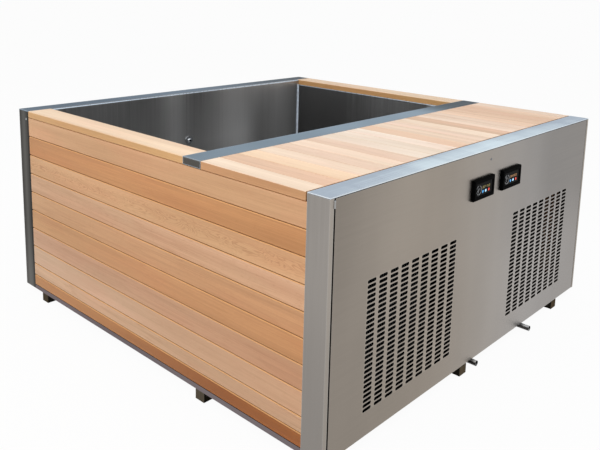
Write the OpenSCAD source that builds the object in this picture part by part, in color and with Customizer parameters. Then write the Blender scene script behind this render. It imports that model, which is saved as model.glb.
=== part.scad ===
// Cold plunge tub with a cedar surround and a machine bay behind a slotted steel panel.
// Millimetres, +Z up, the machine panel faces -Y, the feet stand on Z = 0.

/* [Overall size] */
// Width across the two cedar sides
plan_w = 2000; // [1900:10:2300]
// Depth from the machine panel to the rear face
plan_d = 2000; // [1900:10:2400]
// Height of the body above its feet
body_h = 900; // [880:5:1000]
// Height of the square feet
foot_h = 40; // [36:1:60]

/* [Steel frame] */
// Width of a corner post on the cedar side, and of the top rails
post_w = 94; // [84:1:110]
// Depth of a corner post behind the cedar
post_d = 60; // [54:1:70]
// Width of a post's lip beside the machine panel
lip_w = 19; // [16:1:24]
// Wall of the posts and rails
wall_t = 3; // [2:0.5:4]
// Thickness of the top plates
plate_t = 4; // [3:0.5:6]
// Section of the base rails
base_s = 50; // [44:1:56]
// Height of the steel edge under the cedar
edge_h = 20; // [14:1:28]
// Width of a foot
foot_w = 50; // [40:1:56]
// Distance from the machine panel to the cross bar
bay_d = 612; // [612:2:700]
// Width of the cross bar
bar_w = 102; // [90:1:120]

/* [Cedar] */
// Thickness of caps, deck and cross bar
top_t = 30; // [26:1:36]
// Width of the caps beside the tub
cap_w = 118; // [112:1:140]
// Thickness of the side boards
board_t = 20; // [16:1:24]
// Number of full boards on a side
board_n = 8; // [6:1:10]
// Height of the narrow board
narrow_h = 60; // [50:1:76]
// Height of the bottom board
skirt_h = 54; // [44:1:66]
// Number of deck slats
slat_n = 22; // [16:1:26]
// Gap between the deck and the front rail
deck_gap = 6; // [3:1:10]
// Bevel along the board edges
bevel = 3; // [1:0.5:4]
// Gap between neighbouring boards
board_gap = 1.5; // [0.6:0.1:2]
// Shadow gap under the caps and the deck
shadow_gap = 3; // [1:0.5:5]

/* [Tub] */
// Sheet of the tub
tub_t = 3; // [2:0.5:4]
// Height of the tub floor above the body's lower edge
tub_floor_h = 110; // [100:1:150]
// Radius of the upright corners inside the tub
tub_r = 9; // [8:1:30]
// How far the tub stands inside the caps
rim_in = 6; // [3:1:10]
// Width of the tub rim in front of the rear rail
rim_w = 16; // [12:1:24]
// Radius of the rolled upper edge of the tub sides
roll_r = 3.5; // [3:0.5:4]
// Width of the flange that the caps lie on
flange_w = 36; // [28:1:40]

/* [Machine panel] */
// Depth of the folded panel
door_t = 24; // [20:1:30]
// Sheet of the panel
sheet_t = 3; // [2:0.5:4]
// Gap between the panel and the front top plate
door_gap = 1.5; // [1:0.5:8]
// Columns of slots in a grille
slot_cols = 9; // [5:1:9]
// Rows of slots in a grille
slot_rows = 27; // [15:1:28]
// Length of a slot
slot_l = 46; // [30:1:50]
// Height of a slot
slot_h = 12; // [6:0.5:13]
// Spacing of the slot columns
slot_px = 64; // [55:1:68]
// Spacing of the slot rows
slot_pz = 18; // [15:0.5:19]
// Distance of each grille from the middle
grille_x = 515; // [500:5:530]
// Height of the grille centres above the body's lower edge
grille_z = 336; // [326:2:350]

/* [Controllers] */
// Width of a controller
ctrl_w = 162; // [140:1:180]
// Height of a controller
ctrl_h = 86; // [76:1:95]
// How far a controller stands out
ctrl_d = 15; // [10:1:20]
// Centre of the left controller
ctrl_x1 = -64; // [-80:1:-50]
// Centre of the right controller
ctrl_x2 = 170; // [150:1:180]
// Distance of the controllers' centres below the top
ctrl_drop = 150; // [135:1:165]

/* [Fans] */
// Radius over the fan blades
fan_r = 195; // [170:1:205]
// Number of blades
blade_n = 5; // [3:1:7]
// Pitch of the blades in degrees
blade_pitch = 28; // [18:1:32]

/* [Outlets] */
// Radius of an outlet stub
stub_r = 12; // [10:0.5:13]
// How far the drain stub stands out of the panel
stub_out = 38; // [25:1:60]
// How far the overflow stub stands out of the panel
stub_out2 = 20; // [16:1:24]
// Position of the drain stub across the width
drain_x = 415; // [400:1:430]
// Position of the overflow stub across the width
over_x = -40; // [-50:1:-30]

/* [Return jet] */
// Position of the jet across the width
jet_x = -45; // [-120:1:20]
// Height of the jet above the body's lower edge
jet_z = 622; // [560:1:680]
// Radius of the jet's flange
jet_r = 24; // [21:0.5:30]

/* [Hidden] */
$fn = 48;
eps = 1;
clear = 0.3;

// Main planes
xl = -plan_w / 2;
xr = plan_w / 2;
yf = -plan_d / 2 + stub_out / 2;
yr = yf + plan_d;
zb = foot_h;
zt = foot_h + body_h;
zc = zt - top_t;
zf = zb + base_s;
floor_t = 3;
zfl = zf + floor_t;

// Steel frame
bend_r = 3;
step_gap = 2;
step_d = door_t + step_gap;
rail_h = 30;
rail_in = 4;
rail_y0 = yf + step_d + rail_in;
rail_y1 = yf + post_w - rail_in;
bar_y0 = yf + bay_d;
bar_y1 = bar_y0 + bar_w;
bulk_in = 14;
bulk_t = 3;
bulk_y0 = bar_y0 + bulk_in;
bulk_y1 = bulk_y0 + bulk_t;
up_n = 5;
up_w = 40;
up_d = 30;
ux0 = xr - board_t - up_w;
beam_mid_in = 330;
beam_mid_y = yf + beam_mid_in;
beam_bar_in = 4;
beam_bar_y = bar_y0 + beam_bar_in;
beam_rear_in = 190;
beam_rear_y = yr - beam_rear_in;
foot_mid_x = -116;
foot_right_x = 765;
foot_rear_x = 600;
screw_n = 5;
screw_r = 5;
screw_h = 1.5;
screw_in = 20;
screw_z = 60;
rail_screw_p = 636;
rail_screw_r = 4;
rail_screw_in = 11;
post_screw_in = 69;
post_screw_y = yr - post_screw_in;
post_screw_drop = 41;
post_screw_z = zt - post_screw_drop;

// Cedar
board_z0 = zb + edge_h + skirt_h + narrow_h;
board_p = (zc - board_z0) / board_n;
tongue_t = 6;
tongue_h = 6;
groove_h = 7;
deck_y0 = yf + post_w + deck_gap;
deck_play = 2;
deck_y1 = bar_y0 - deck_play;
deck_p = plan_w / slat_n;
ledge_t = 6;
ledge_w = 40;
batten_w = 40;
batten_h = 25;
batten_in = 10;
batten_screw_h = 3;
batten_y = [for (s = [0.17, 0.5, 0.83]) deck_y0 + s * (deck_y1 - deck_y0)];

// Tub
tub_x = xr - cap_w - rim_in;
tub_y0 = bar_y1 + rim_in;
tub_y1 = yr - post_w - rim_w;
tub_z = zb + tub_floor_h;
tail_l = 10;
foam_gap = 1;
roll_in = 1;
roll_drop = 0.5;
rim_r = 6;

// Machine panel
hinge_in = 3;
hinge_x = xl + lip_w + hinge_in;
hinge_r = 4;
pin_r = 2;
pin_play = 0.05;
pin_head = 1.5;
leaf_t = 3;
leaf_in = 2;
knuckle_l = 12;
hinge_low = 30;
hinge_drop = 24;
hinge_z = [zb + hinge_low, zt - hinge_drop];
door_play = 0.5;
lock_r = 4.5;
lock_h = 1.2;
lock_shank = 3;
lock_l = 14;
lock_slot = 1.5;
lock_drop = 45;
lock_z = zt - lock_drop;
door_x0 = hinge_x + hinge_r + door_play;
door_side = 4;
door_x1 = xr - lip_w - door_side;
door_lift = 2;
door_z0 = zb + door_lift;
door_z1 = zt - plate_t - door_gap;
gz = zb + grille_z;
grille_hw = (slot_cols - 1) / 2 * slot_px + slot_l / 2;
stiff_w = 30;
stiff_in = 33;
stiff_drop = 40;
latch_w = 30;
latch_l = 60;
latch_in = 110;
latch_z = [door_z0 + latch_in, (door_z0 + door_z1) / 2, door_z1 - latch_in];
magnet_in = 4;

// Controllers
ctrl_zc = zt - ctrl_drop;
bezel_m = 16;
ctrl_bevel = 4;
screen_in = 3;
back_m = 6;
back_d = 45;
cut_play = 0.5;

// Condensers and fans
coil_gap = 84;
coil_d = 40;
coil_w = 570;
coil_up = 264;
coil_back = 6;
coil_y = yf + step_d + coil_gap;
coil_z1 = gz + coil_up;
fin_n = 40;
fin_t = 4;
ring_t = 3;
ring_l = 48;
ring_gap = 10;
fan_gap = 35;
fan_y = coil_y + coil_d + fan_gap;
hub_r = 45;
hub_l = 40;
blade_w = 100;
blade_t = 3;
blade_root = 30;
shaft_r = 6;
shaft_l = 72;
shaft_play = 0.05;
motor_r = 55;
motor_l = 80;
motor_gap = 37;
motor_y = fan_y + motor_gap;
stand_w = 40;
stand_d = 30;
sole_w = 120;
sole_d = 60;
sole_t = 5;

// Cooling circuit
comp_x = 700;
comp_in = 440;
comp_y = yf + comp_in;
comp_r = 80;
comp_h = 280;
comp_lip = 18;
comp_lip_t = 5;
dome_r = 35;
shoulder_h = 230;
shoulder_r = 62;
shoulder_top = 262;
pad_h = 20;
pad_r = 15;
pad_in = 5;
hx_x = 300;
hx_in = 450;
hx_y = yf + hx_in;
hx_w = 120;
hx_d = 80;
copper_r = 6;
copper_up = 60;
copper_in = 8;

// Water circuit
pipe_r = 16;
port_t = 6;
port_l = 15;
pump_x = 130;
pump_up = 80;
pump_z = zfl + pump_up;
pump_r = 75;
pump_back = 540;
pump_y1 = yf + pump_back;
pump_l = 260;
volute_l = 70;
pump_in = 10;
pump_foot_w = 110;
pump_foot_l = 140;
pump_foot_in = 20;
pump_foot_drop = 40;
pump_port_l = 20;
filt_x = -130;
filt_in = 430;
filt_y = yf + filt_in;
filt_r = 75;
filt_h = 390;
filt_cap_h = 35;
filt_cap_lip = 10;
rib_w = 16;
rib_l = 12;
rib_in = 2;
loop_up = 240;
loop_z = zfl + loop_up;
link_up = 470;
link_z = zfl + link_up;
hx_up = 40;
hx_z1 = link_z + hx_up;
suck_x = -300;
suck_up = 90;
suck_z = tub_z + suck_up;
suck_in = 600;
suck_y = yf + suck_in;
suck_r = 55;
ret_x = -(tub_x + tub_t + (ux0 - tub_x - tub_t) / 2);
ret_in = 40;
ret_y = yr - step_d - ret_in;
ret_up = 60;
ret_z = loop_z + ret_up;
pipe_play = 1;
tail_t = 4;
jz = zb + jet_z;
jet_hole = 19;
jet_tail = 24;
jet_out = 2;
jet_yc = tub_y1 - jet_out;
jet_lip = 6;
jet_bore = 9;
ball_r = 14;
ball_bore = 6;
ball_cut = 2;

// Electrics
ebox_x0 = 60;
ebox_w = 300;
ebox_d = 100;
ebox_gap = 40;
ebox_top = 50;
lid_t = 4;
gland_x = 200;
gland_r = 12;
gland_lip = 5;
gland_h = 12;
gland_drop = 15;

// Drain and overflow
stub_t = 2;
stub_bore_l = 40;
stub_drop = 1;
stub_z = zb - stub_r - stub_drop;
stub_play = 3;
drain_in = 170;
drain_y = tub_y0 + drain_in;
drain_up = 28;
drain_z = zf + drain_up;
drain_hole = 24;
drain_lip_r = 40;
drain_lip_t = 4;
drain_bore = 8;
drain_ring_r = 14;
drain_slot_r = 3.5;
drain_stem = 4;
valve_in = 330;
valve_y = yf + valve_in;
valve_l = 60;
valve_t = 8;
bonnet_h = 26;
bonnet_r = 9;
stem_h = 8;
stem_r = 5;
stem_play = 0.05;
valve_foot_w = 50;
valve_foot_d = 24;
valve_foot_in = 10;
lever_l = 70;
lever_w = 16;
lever_t = 4;
lever_hub_r = 11;
lever_hub_t = 6;
drop_in = 230;
drop_y = yf + drop_in;
over_in = 560;
over_y = yf + over_in;
over_drop = 90;
over_z = zt - over_drop;
over_r = 32;

steel = [0.66, 0.66, 0.65];
steel_dark = [0.42, 0.43, 0.44];
cedar = [0.83, 0.62, 0.43];
cedar_pale = [0.91, 0.76, 0.62];
cedar_brown = [0.66, 0.42, 0.24];
black = [0.07, 0.07, 0.08];
glass = [0.12, 0.13, 0.15];
copper = [0.72, 0.45, 0.3];
white = [0.9, 0.9, 0.88];
foam = [0.85, 0.84, 0.76];
zinc = [0.6, 0.62, 0.64];
lever_red = [0.75, 0.12, 0.1];

// Box between two corners
module box(x0, x1, y0, y1, z0, z1) {
  translate([x0, y0, z0])
    cube([x1 - x0, y1 - y0, z1 - z0]);
}

// Rods along the three axes
module rod_x(x0, x1, y, z, r) {
  translate([x0, y, z])
    rotate([0, 90, 0])
      cylinder(r = r, h = x1 - x0);
}

module rod_y(x, y0, y1, z, r) {
  translate([x, y1, z])
    rotate([90, 0, 0])
      cylinder(r = r, h = y1 - y0);
}

module rod_z(x, y, z0, z1, r) {
  translate([x, y, z0])
    cylinder(r = r, h = z1 - z0);
}

// Pipe run of straight legs with a round elbow at the end of each leg but the last
module leg(p, q, r, trim, elbow) {
  d = q - p;
  l = norm(d);
  translate(p)
    rotate([0, acos(d.z / l), atan2(d.y, d.x)]) {
      translate([0, 0, trim])
        cylinder(r = r, h = l - trim);
      if (elbow)
        translate([0, 0, l])
          sphere(r = r);
    }
}

module pipe_run(pts, r) {
  n = len(pts) - 1;
  for (i = [0 : n - 1])
    leg(pts[i], pts[i + 1], r, i > 0 ? r + clear : 0, i < n - 1);
}

// Extrusion along X of a (y, z) shape, and along Y of an (x, z) shape
module along_x(x0, x1) {
  translate([x0, 0, 0])
    rotate([90, 0, 90])
      linear_extrude(x1 - x0)
        children();
}

module along_y(y0, y1) {
  translate([0, y1, 0])
    rotate([90, 0, 0])
      linear_extrude(y1 - y0)
        children();
}

// The children and their mirror image on the other side
module both_sides() {
  children();
  mirror([1, 0, 0])
    children();
}

// Rectangular tube with open ends along X
module tube_x(x0, x1, y0, y1, z0, z1) {
  along_x(x0, x1)
    difference() {
      translate([y0, z0])
        square([y1 - y0, z1 - z0]);
      translate([y0 + wall_t, z0 + wall_t])
        square([y1 - y0 - 2 * wall_t, z1 - z0 - 2 * wall_t]);
    }
}

// Solid turned about an axis along +Y through a point
module turned_at(x, y, z) {
  translate([x, y, z])
    rotate([-90, 0, 0])
      rotate_extrude()
        children();
}

// The children turned about an upright axis
module turned_about(x, y, a) {
  translate([x, y, 0])
    rotate([0, 0, a])
      translate([-x, -y, 0])
        children();
}

// Base: side rails with the visible steel edge, and cross beams between them
module side_rail() {
  xi = xl + board_t;
  along_y(yf + post_w, yr - post_w)
    difference() {
      polygon([[xl, zb], [xi + base_s, zb], [xi + base_s, zf], [xi, zf], [xi, zb + edge_h],
        [xl, zb + edge_h]]);
      translate([xi + wall_t, zb + wall_t])
        square(base_s - 2 * wall_t);
    }
}

module base_side_rails() {
  color(steel_dark)
    both_sides()
      side_rail();
}

module base_beams() {
  bx = xr - board_t - base_s;
  p = (beam_rear_y - beam_bar_y) / 3;
  color(steel_dark)
    union() {
      tube_x(-ux0, ux0, yf + step_d, yf + step_d + base_s, zb, zf);
      tube_x(-ux0, ux0, yr - step_d - base_s, yr - step_d, zb, zf);
      for (y = [beam_mid_y, beam_bar_y, beam_bar_y + p, beam_bar_y + 2 * p, beam_rear_y])
        tube_x(-bx, bx, y - base_s / 2, y + base_s / 2, zb, zf);
    }
}

module foot(x, y) {
  box(x - foot_w / 2, x + foot_w / 2, y - foot_w / 2, y + foot_w / 2, 0, zb);
}

module feet() {
  fx = xr - foot_w / 2;
  fy = yf + foot_w / 2;
  color(steel_dark)
    union() {
      for (x = [-fx, foot_mid_x, foot_right_x])
        foot(x, fy);
      for (s = [-1, 1]) {
        foot(s * fx, beam_bar_y);
        foot(s * fx, beam_rear_y);
        foot(s * foot_rear_x, yr - foot_w / 2 - step_d);
      }
    }
}

// Corner post: a folded section with a lip beside the panel that it frames
module post_section(t) {
  r = bend_r - t;
  polygon([[bend_r, t], [lip_w - t, t], [lip_w - t, step_d + t], [post_d - t, step_d + t],
    [post_d - t, post_w - t], [t, post_w - t], [t, bend_r]]);
  if (r > 0)
    translate([bend_r, bend_r])
      circle(r = r);
}

module post() {
  translate([xl, yf, zb])
    linear_extrude(body_h - plate_t)
      difference() {
        post_section(0);
        post_section(wall_t);
      }
}

module front_posts() {
  color(steel)
    difference() {
      both_sides()
        post();
      for (z = hinge_z)
        rod_z(hinge_x, yf, z - knuckle_l - eps, z + knuckle_l + pin_head + eps, hinge_r + clear);
    }
}

module post_screw(r, out) {
  rod_x(xl - out, xl + screw_h, post_screw_y, post_screw_z, r);
}

module rear_posts() {
  color(steel_dark)
    difference() {
      translate([0, yf + yr, 0])
        mirror([0, 1, 0])
          both_sides()
            post();
      both_sides()
        post_screw(screw_r + clear, eps);
    }
}

// Top plate with a half-round outer edge and half-round ends
module top_plate(y_out, y_in) {
  s = sign(y_in - y_out);
  r = plate_t / 2;
  z0 = zt - plate_t;
  intersection() {
    along_x(xl, xr)
      union() {
        polygon([[y_out + s * r, z0], [y_in, z0], [y_in, zt], [y_out + s * r, zt]]);
        translate([y_out + s * r, zt - r])
          circle(r = r);
      }
    along_y(min(y_out, y_in), max(y_out, y_in))
      union() {
        translate([xl + r, z0])
          square([plan_w - 2 * r, plate_t]);
        translate([xl + r, zt - r])
          circle(r = r);
        translate([xr - r, zt - r])
          circle(r = r);
      }
  }
}

module front_rail() {
  z1 = zt - plate_t;
  color(steel)
    union() {
      top_plate(yf, yf + post_w);
      tube_x(xl + post_d, xr - post_d, rail_y0, rail_y1, z1 - rail_h, z1);
    }
}

module rail_screws(r, out) {
  for (x = [-rail_screw_p, 0, rail_screw_p])
    rod_z(x, yr - rail_screw_in, zt - plate_t - out, zt + out, r);
}

module rear_rail() {
  z1 = zt - plate_t;
  color(steel_dark)
    union() {
      difference() {
        top_plate(yr, yr - post_w);
        rail_screws(rail_screw_r + clear, eps);
      }
      tube_x(xl + post_d, xr - post_d, yr - post_w + rail_in, yr - step_d - rail_in, z1 - rail_h, z1);
    }
}

// Channel across the tub, open underneath, with closed ends
module cross_bar() {
  color(steel_dark)
    difference() {
      box(xl, xr, bar_y0, bar_y1, zc, zt);
      box(xl + wall_t, xr - wall_t, bar_y0 + wall_t, bar_y1 - wall_t, zc - eps, zt - wall_t);
    }
}

// Steel wall between the machine bay and the tub
module bulkhead() {
  color(steel_dark)
    difference() {
      box(-ux0, ux0, bulk_y0, bulk_y1, zf, zc - tub_t);
      rod_y(drain_x, bulk_y0 - eps, bulk_y1 + eps, drain_z, stub_r + stub_play);
      rod_y(over_x, bulk_y0 - eps, bulk_y1 + eps, over_z, stub_r + stub_play);
      rod_y(suck_x, bulk_y0 - eps, bulk_y1 + eps, suck_z, pipe_r + pipe_play);
      rod_y(ret_x, bulk_y0 - eps, bulk_y1 + eps, ret_z, pipe_r + pipe_play);
    }
}

// Rear panel and its sunken screws
module panel_screws(r, out) {
  p = (body_h - 2 * screw_z) / (screw_n - 1);
  both_sides()
    for (i = [0 : screw_n - 1])
      rod_y(xr - lip_w - screw_in, yr - screw_h, yr + out, zb + screw_z + i * p, r);
}

module rear_panel() {
  x1 = xr - lip_w - 1;
  z0 = zb + step_gap;
  z1 = zt - plate_t - step_gap;
  color(steel)
    difference() {
      box(-x1, x1, yr - step_d, yr, z0, z1);
      box(-x1 + sheet_t, x1 - sheet_t, yr - step_d - eps, yr - sheet_t, z0 + sheet_t, z1 - sheet_t);
      panel_screws(screw_r + clear, eps);
    }
}

module rear_screws() {
  color(zinc)
    union() {
      panel_screws(screw_r, 0);
      rail_screws(rail_screw_r, 0);
      both_sides()
        post_screw(screw_r, 0);
    }
}

// Uprights that carry the side boards
module side_uprights() {
  p = (plan_d - 2 * post_w) / up_n;
  color(steel_dark)
    both_sides()
      for (i = [0 : up_n - 1])
        translate([ux0, yf + post_w + (i + 0.5) * p - up_d / 2, zf])
          linear_extrude(zc - zf)
            difference() {
              square([up_w, up_d]);
              translate([wall_t, wall_t])
                square([up_w - 2 * wall_t, up_d - 2 * wall_t]);
            }
}

// Tongue and groove board with its outer face at x = xl; the uppermost one has no tongue
module board(z0, h, top) {
  z1 = z0 + h - (top ? shadow_gap : board_gap);
  xi = xl + board_t;
  tx0 = xl + (board_t - tongue_t) / 2;
  tx1 = xl + (board_t + tongue_t) / 2;
  foot_edge = [[xl, z0 + bevel], [xl + bevel, z0], [tx0 - clear, z0], [tx0 - clear, z0 + groove_h],
    [tx1 + clear, z0 + groove_h], [tx1 + clear, z0], [xi, z0]];
  tongue_edge = [[xi, z1], [tx1, z1], [tx1, z1 + tongue_h], [tx0, z1 + tongue_h], [tx0, z1],
    [xl + bevel, z1], [xl, z1 - bevel]];
  along_y(yf + post_w, yr - post_w)
    polygon(concat(foot_edge, top ? [[xi, z1], [xl, z1]] : tongue_edge));
}

module side_boards() {
  for (i = [0 : board_n - 1])
    board(board_z0 + i * board_p, board_p, i == board_n - 1);
}

module cladding_left() {
  color(cedar)
    side_boards();
}

module cladding_right() {
  color(cedar)
    mirror([1, 0, 0])
      side_boards();
}

module lower_boards() {
  z0 = zb + edge_h;
  color(cedar_brown)
    both_sides() {
      board(z0, skirt_h, false);
      board(z0 + skirt_h, narrow_h, false);
    }
}

// Cedar caps beside the tub, with eased upper edges
module caps() {
  xi = xl + cap_w;
  color(cedar_pale)
    both_sides()
      along_y(bar_y1, yr - post_w)
        polygon([[xl, zc], [xi, zc], [xi, zt - bevel], [xi - bevel, zt], [xl + bevel, zt], [xl, zt - bevel]]);
}

// Tub of welded sheets: a floor, four walls with folded rims, and rounded corner pieces
module tub_floor() {
  x1 = tub_x + tub_t;
  y0 = tub_y0 - tub_t;
  y1 = tub_y1 + tub_t;
  r = tub_r + tub_t;
  color(steel_dark)
    difference() {
      translate([0, 0, tub_z - tub_t])
        linear_extrude(tub_t)
          union() {
            translate([-x1 + r, y0])
              square([2 * (x1 - r), y1 - y0]);
            translate([-x1, y0 + r])
              square([2 * x1, y1 - y0 - 2 * r]);
            for (x = [-x1 + r, x1 - r])
              for (y = [y0 + r, y1 - r])
                translate([x, y])
                  circle(r = r);
          }
      rod_z(drain_x, drain_y, tub_z - tub_t - eps, tub_z + eps, drain_hole);
    }
}

module tub_side_wall() {
  y0 = tub_y0 + tub_r;
  y1 = tub_y1 - tub_r;
  along_y(y0, y1)
    polygon([[-tub_x, tub_z], [-tub_x, zc], [-tub_x - flange_w, zc], [-tub_x - flange_w, zc - tub_t],
      [-tub_x - tub_t, zc - tub_t], [-tub_x - tub_t, tub_z]]);
  rod_y(-tub_x + roll_in, y0, y1, zc - roll_r - roll_drop, roll_r);
}

module tub_front_wall() {
  difference() {
    along_x(-tub_x + tub_r, tub_x - tub_r)
      polygon([[tub_y0, tub_z], [tub_y0, zc], [tub_y0 - flange_w, zc], [tub_y0 - flange_w, zc - tub_t],
        [tub_y0 - tub_t, zc - tub_t], [tub_y0 - tub_t, tub_z]]);
    rod_y(suck_x, tub_y0 - tub_t - eps, tub_y0 + eps, suck_z, pipe_r + tail_t);
    rod_y(over_x, tub_y0 - tub_t - eps, tub_y0 + eps, over_z, stub_r + tail_t);
  }
}

module tub_rear_wall() {
  x1 = tub_x - tub_r;
  rim_x = xr - cap_w - clear;
  difference() {
    union() {
      box(-x1, x1, tub_y1, tub_y1 + tub_t, tub_z, zc);
      box(-rim_x, rim_x, tub_y1, tub_y1 + rim_w, zc, zt - rim_r);
      box(-rim_x, rim_x, tub_y1 + rim_r, tub_y1 + rim_w, zt - rim_r, zt);
      rod_x(-rim_x, rim_x, tub_y1 + rim_r, zt - rim_r, rim_r);
    }
    rod_y(jet_x, tub_y1 - eps, tub_y1 + tub_t + eps, jz, jet_hole);
  }
}

module tub_walls() {
  color(steel_dark)
    union() {
      both_sides()
        tub_side_wall();
      tub_front_wall();
      tub_rear_wall();
    }
}

module tub_corner(y, a) {
  r = tub_r + tub_t;
  translate([tub_x - tub_r, y, tub_z])
    rotate([0, 0, a])
      linear_extrude(zc - tub_z)
        difference() {
          intersection() {
            circle(r = r);
            square(r);
          }
          circle(r = tub_r);
        }
}

module tub_corners() {
  color(steel_dark)
    both_sides() {
      tub_corner(tub_y0 + tub_r, -90);
      tub_corner(tub_y1 - tub_r, 0);
    }
}

// Foam slabs round the tub, with channels for the pipes
module insulation() {
  ox = tub_x + tub_t;
  y0 = tub_y0 - tub_t;
  y1 = tub_y1 + tub_t;
  z1 = zc - tub_t - foam_gap;
  c = pipe_r + pipe_play;
  color(foam)
    difference() {
      union() {
        box(-ox, ox, bulk_y1, y0, zf, z1);
        both_sides()
          box(ox + foam_gap, ux0, bulk_y1, y1, zf, z1);
        box(-ux0, ux0, y1 + foam_gap, yr - step_d, zf, zt - plate_t - rail_h);
        box(-ox, ox, y0 + foam_gap, y1, zf, tub_z - tub_t);
      }
      rod_y(drain_x, bulk_y1 - eps, drain_y, drain_z, stub_r + stub_play);
      rod_z(drain_x, drain_y, zf - eps, tub_z, drain_hole + tail_t);
      rod_y(over_x, bulk_y1 - eps, y0 + eps, over_z, stub_r + tail_t + pipe_play);
      rod_y(suck_x, bulk_y1 - eps, y0 + eps, suck_z, pipe_r + tail_t + pipe_play);
      box(ret_x - c, ret_x + c, bulk_y1 - eps, ret_y + c, ret_z - c, ret_z + c);
      box(ret_x - c, jet_x + c, ret_y - c, ret_y + c, ret_z - c, ret_z + c);
      box(jet_x - c, jet_x + c, ret_y - c, ret_y + c, ret_z - c, jz + c);
      rod_y(jet_x, y1 - eps, ret_y, jz, jet_hole + pipe_play);
    }
}

module bay_floor() {
  color(zinc)
    difference() {
      box(-ux0, ux0, yf + step_d + base_s, bulk_y0, zf, zfl);
      rod_z(drain_x, drop_y, zf - eps, zfl + eps, stub_r + stub_play);
      rod_z(over_x, over_y, zf - eps, zfl + eps, stub_r + stub_play);
      rod_z(gland_x, over_y, zf - eps, zfl + eps, gland_r);
    }
}

// Ledges that the deck lies on
module deck_bearers() {
  color(zinc)
    union() {
      box(-ux0, ux0, rail_y1, deck_y0 + ledge_w, zc - ledge_t, zc);
      box(-ux0, ux0, bulk_y0 - ledge_w, bulk_y0, zc - ledge_t, zc);
    }
}

// Lift-off deck over the machine bay
module deck_slats() {
  b = bevel / 2;
  color(cedar_pale)
    for (i = [0 : slat_n - 1]) {
      x0 = xl + i * deck_p + (i > 0 ? board_gap / 2 : 0);
      x1 = xl + (i + 1) * deck_p - (i < slat_n - 1 ? board_gap / 2 : 0);
      along_y(deck_y0, deck_y1)
        polygon([[x0, zc], [x1, zc], [x1, zt - b], [x1 - b, zt], [x0 + b, zt], [x0, zt - b]]);
    }
}

module deck_battens() {
  x1 = ux0 - batten_in;
  color(cedar)
    for (y = batten_y)
      box(-x1, x1, y - batten_w / 2, y + batten_w / 2, zc - batten_h, zc);
}

module deck_screws() {
  z1 = zc - batten_h;
  color(zinc)
    for (y = batten_y)
      for (i = [1 : slat_n - 2])
        rod_z(xl + (i + 0.5) * deck_p, y, z1 - batten_screw_h, z1, screw_r);
}

// Hinged machine panel: a folded pan with two slotted grilles
module slot() {
  a = (slot_l - slot_h) / 2;
  translate([-a, -slot_h / 2])
    square([2 * a, slot_h]);
  for (x = [-a, a])
    translate([x, 0])
      circle(d = slot_h, $fn = 24);
}

module grille(cx) {
  for (i = [0 : slot_cols - 1])
    for (j = [0 : slot_rows - 1])
      translate([cx + (i - (slot_cols - 1) / 2) * slot_px, gz + (j - (slot_rows - 1) / 2) * slot_pz])
        slot();
}

module ctrl_rect(cx, m) {
  translate([cx - ctrl_w / 2 + m, ctrl_zc - ctrl_h / 2 + m])
    square([ctrl_w - 2 * m, ctrl_h - 2 * m]);
}

module door_outline(m) {
  translate([door_x0 + m, door_z0 + m])
    square([door_x1 - door_x0 - 2 * m, door_z1 - door_z0 - 2 * m]);
}

module door_panel() {
  color(steel)
    union() {
      along_y(yf, yf + sheet_t)
        difference() {
          door_outline(0);
          grille(-grille_x);
          grille(grille_x);
          ctrl_rect(ctrl_x1, back_m - cut_play);
          ctrl_rect(ctrl_x2, back_m - cut_play);
          translate([0, lock_z])
            circle(r = lock_shank + clear);
        }
      along_y(yf + sheet_t, yf + door_t)
        difference() {
          door_outline(0);
          door_outline(sheet_t);
        }
    }
}

// Channels behind the panel, clear of grilles and controllers
module stiffener(x, z1) {
  z0 = door_z0 + sheet_t;
  a = stiff_w / 2;
  y1 = yf + door_t - sheet_t;
  difference() {
    box(x - a, x + a, yf + sheet_t, y1, z0, z1);
    box(x - a + sheet_t, x + a - sheet_t, yf + sheet_t - eps, y1 - sheet_t, z0 - eps, z1 + eps);
  }
}

module door_stiffeners() {
  inner_x = grille_x - grille_hw - stiff_in;
  inner_z = ctrl_zc - ctrl_h / 2 - stiff_drop;
  color(zinc)
    union() {
      stiffener(-inner_x, inner_z);
      stiffener(inner_x, inner_z);
      stiffener((door_x0 + sheet_t - grille_x - grille_hw) / 2, door_z1 - sheet_t);
      stiffener((door_x1 - sheet_t + grille_x + grille_hw) / 2, door_z1 - sheet_t);
    }
}

// Magnetic catches: strikers on the panel, magnets on the right post
module door_strikers() {
  x1 = door_x1 - sheet_t;
  color(zinc)
    for (z = latch_z)
      box(x1 - latch_w, x1, yf + door_t - sheet_t, yf + door_t, z - latch_l / 2, z + latch_l / 2);
}

module door_magnets() {
  x1 = door_x1 - sheet_t - magnet_in;
  a = latch_l / 2 - magnet_in;
  color(black)
    for (z = latch_z)
      box(x1 - latch_w + 2 * magnet_in, x1, yf + door_t + clear, yf + step_d, z - a, z + a);
}

// Pivot hinges at the panel's left edge, near its two ends
module hinge_half(x0, z0, z1) {
  difference() {
    union() {
      rod_z(hinge_x, yf, z0, z1, hinge_r);
      box(x0, x0 + leaf_t, yf, yf + door_t - leaf_in, z0, z1);
    }
    rod_z(hinge_x, yf, z0 - eps, z1 + eps, pin_r + pin_play);
  }
}

module hinge_fixed() {
  color(steel)
    for (z = hinge_z)
      hinge_half(xl + lip_w, z + clear, z + knuckle_l);
}

module hinge_moving() {
  color(steel)
    for (z = hinge_z)
      hinge_half(door_x0 - leaf_t, z - knuckle_l, z);
}

module hinge_pins() {
  color(zinc)
    for (z = hinge_z) {
      rod_z(hinge_x, yf, z - knuckle_l + eps, z + knuckle_l, pin_r);
      rod_z(hinge_x, yf, z + knuckle_l, z + knuckle_l + pin_head, pin_r + pin_head);
    }
}

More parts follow.
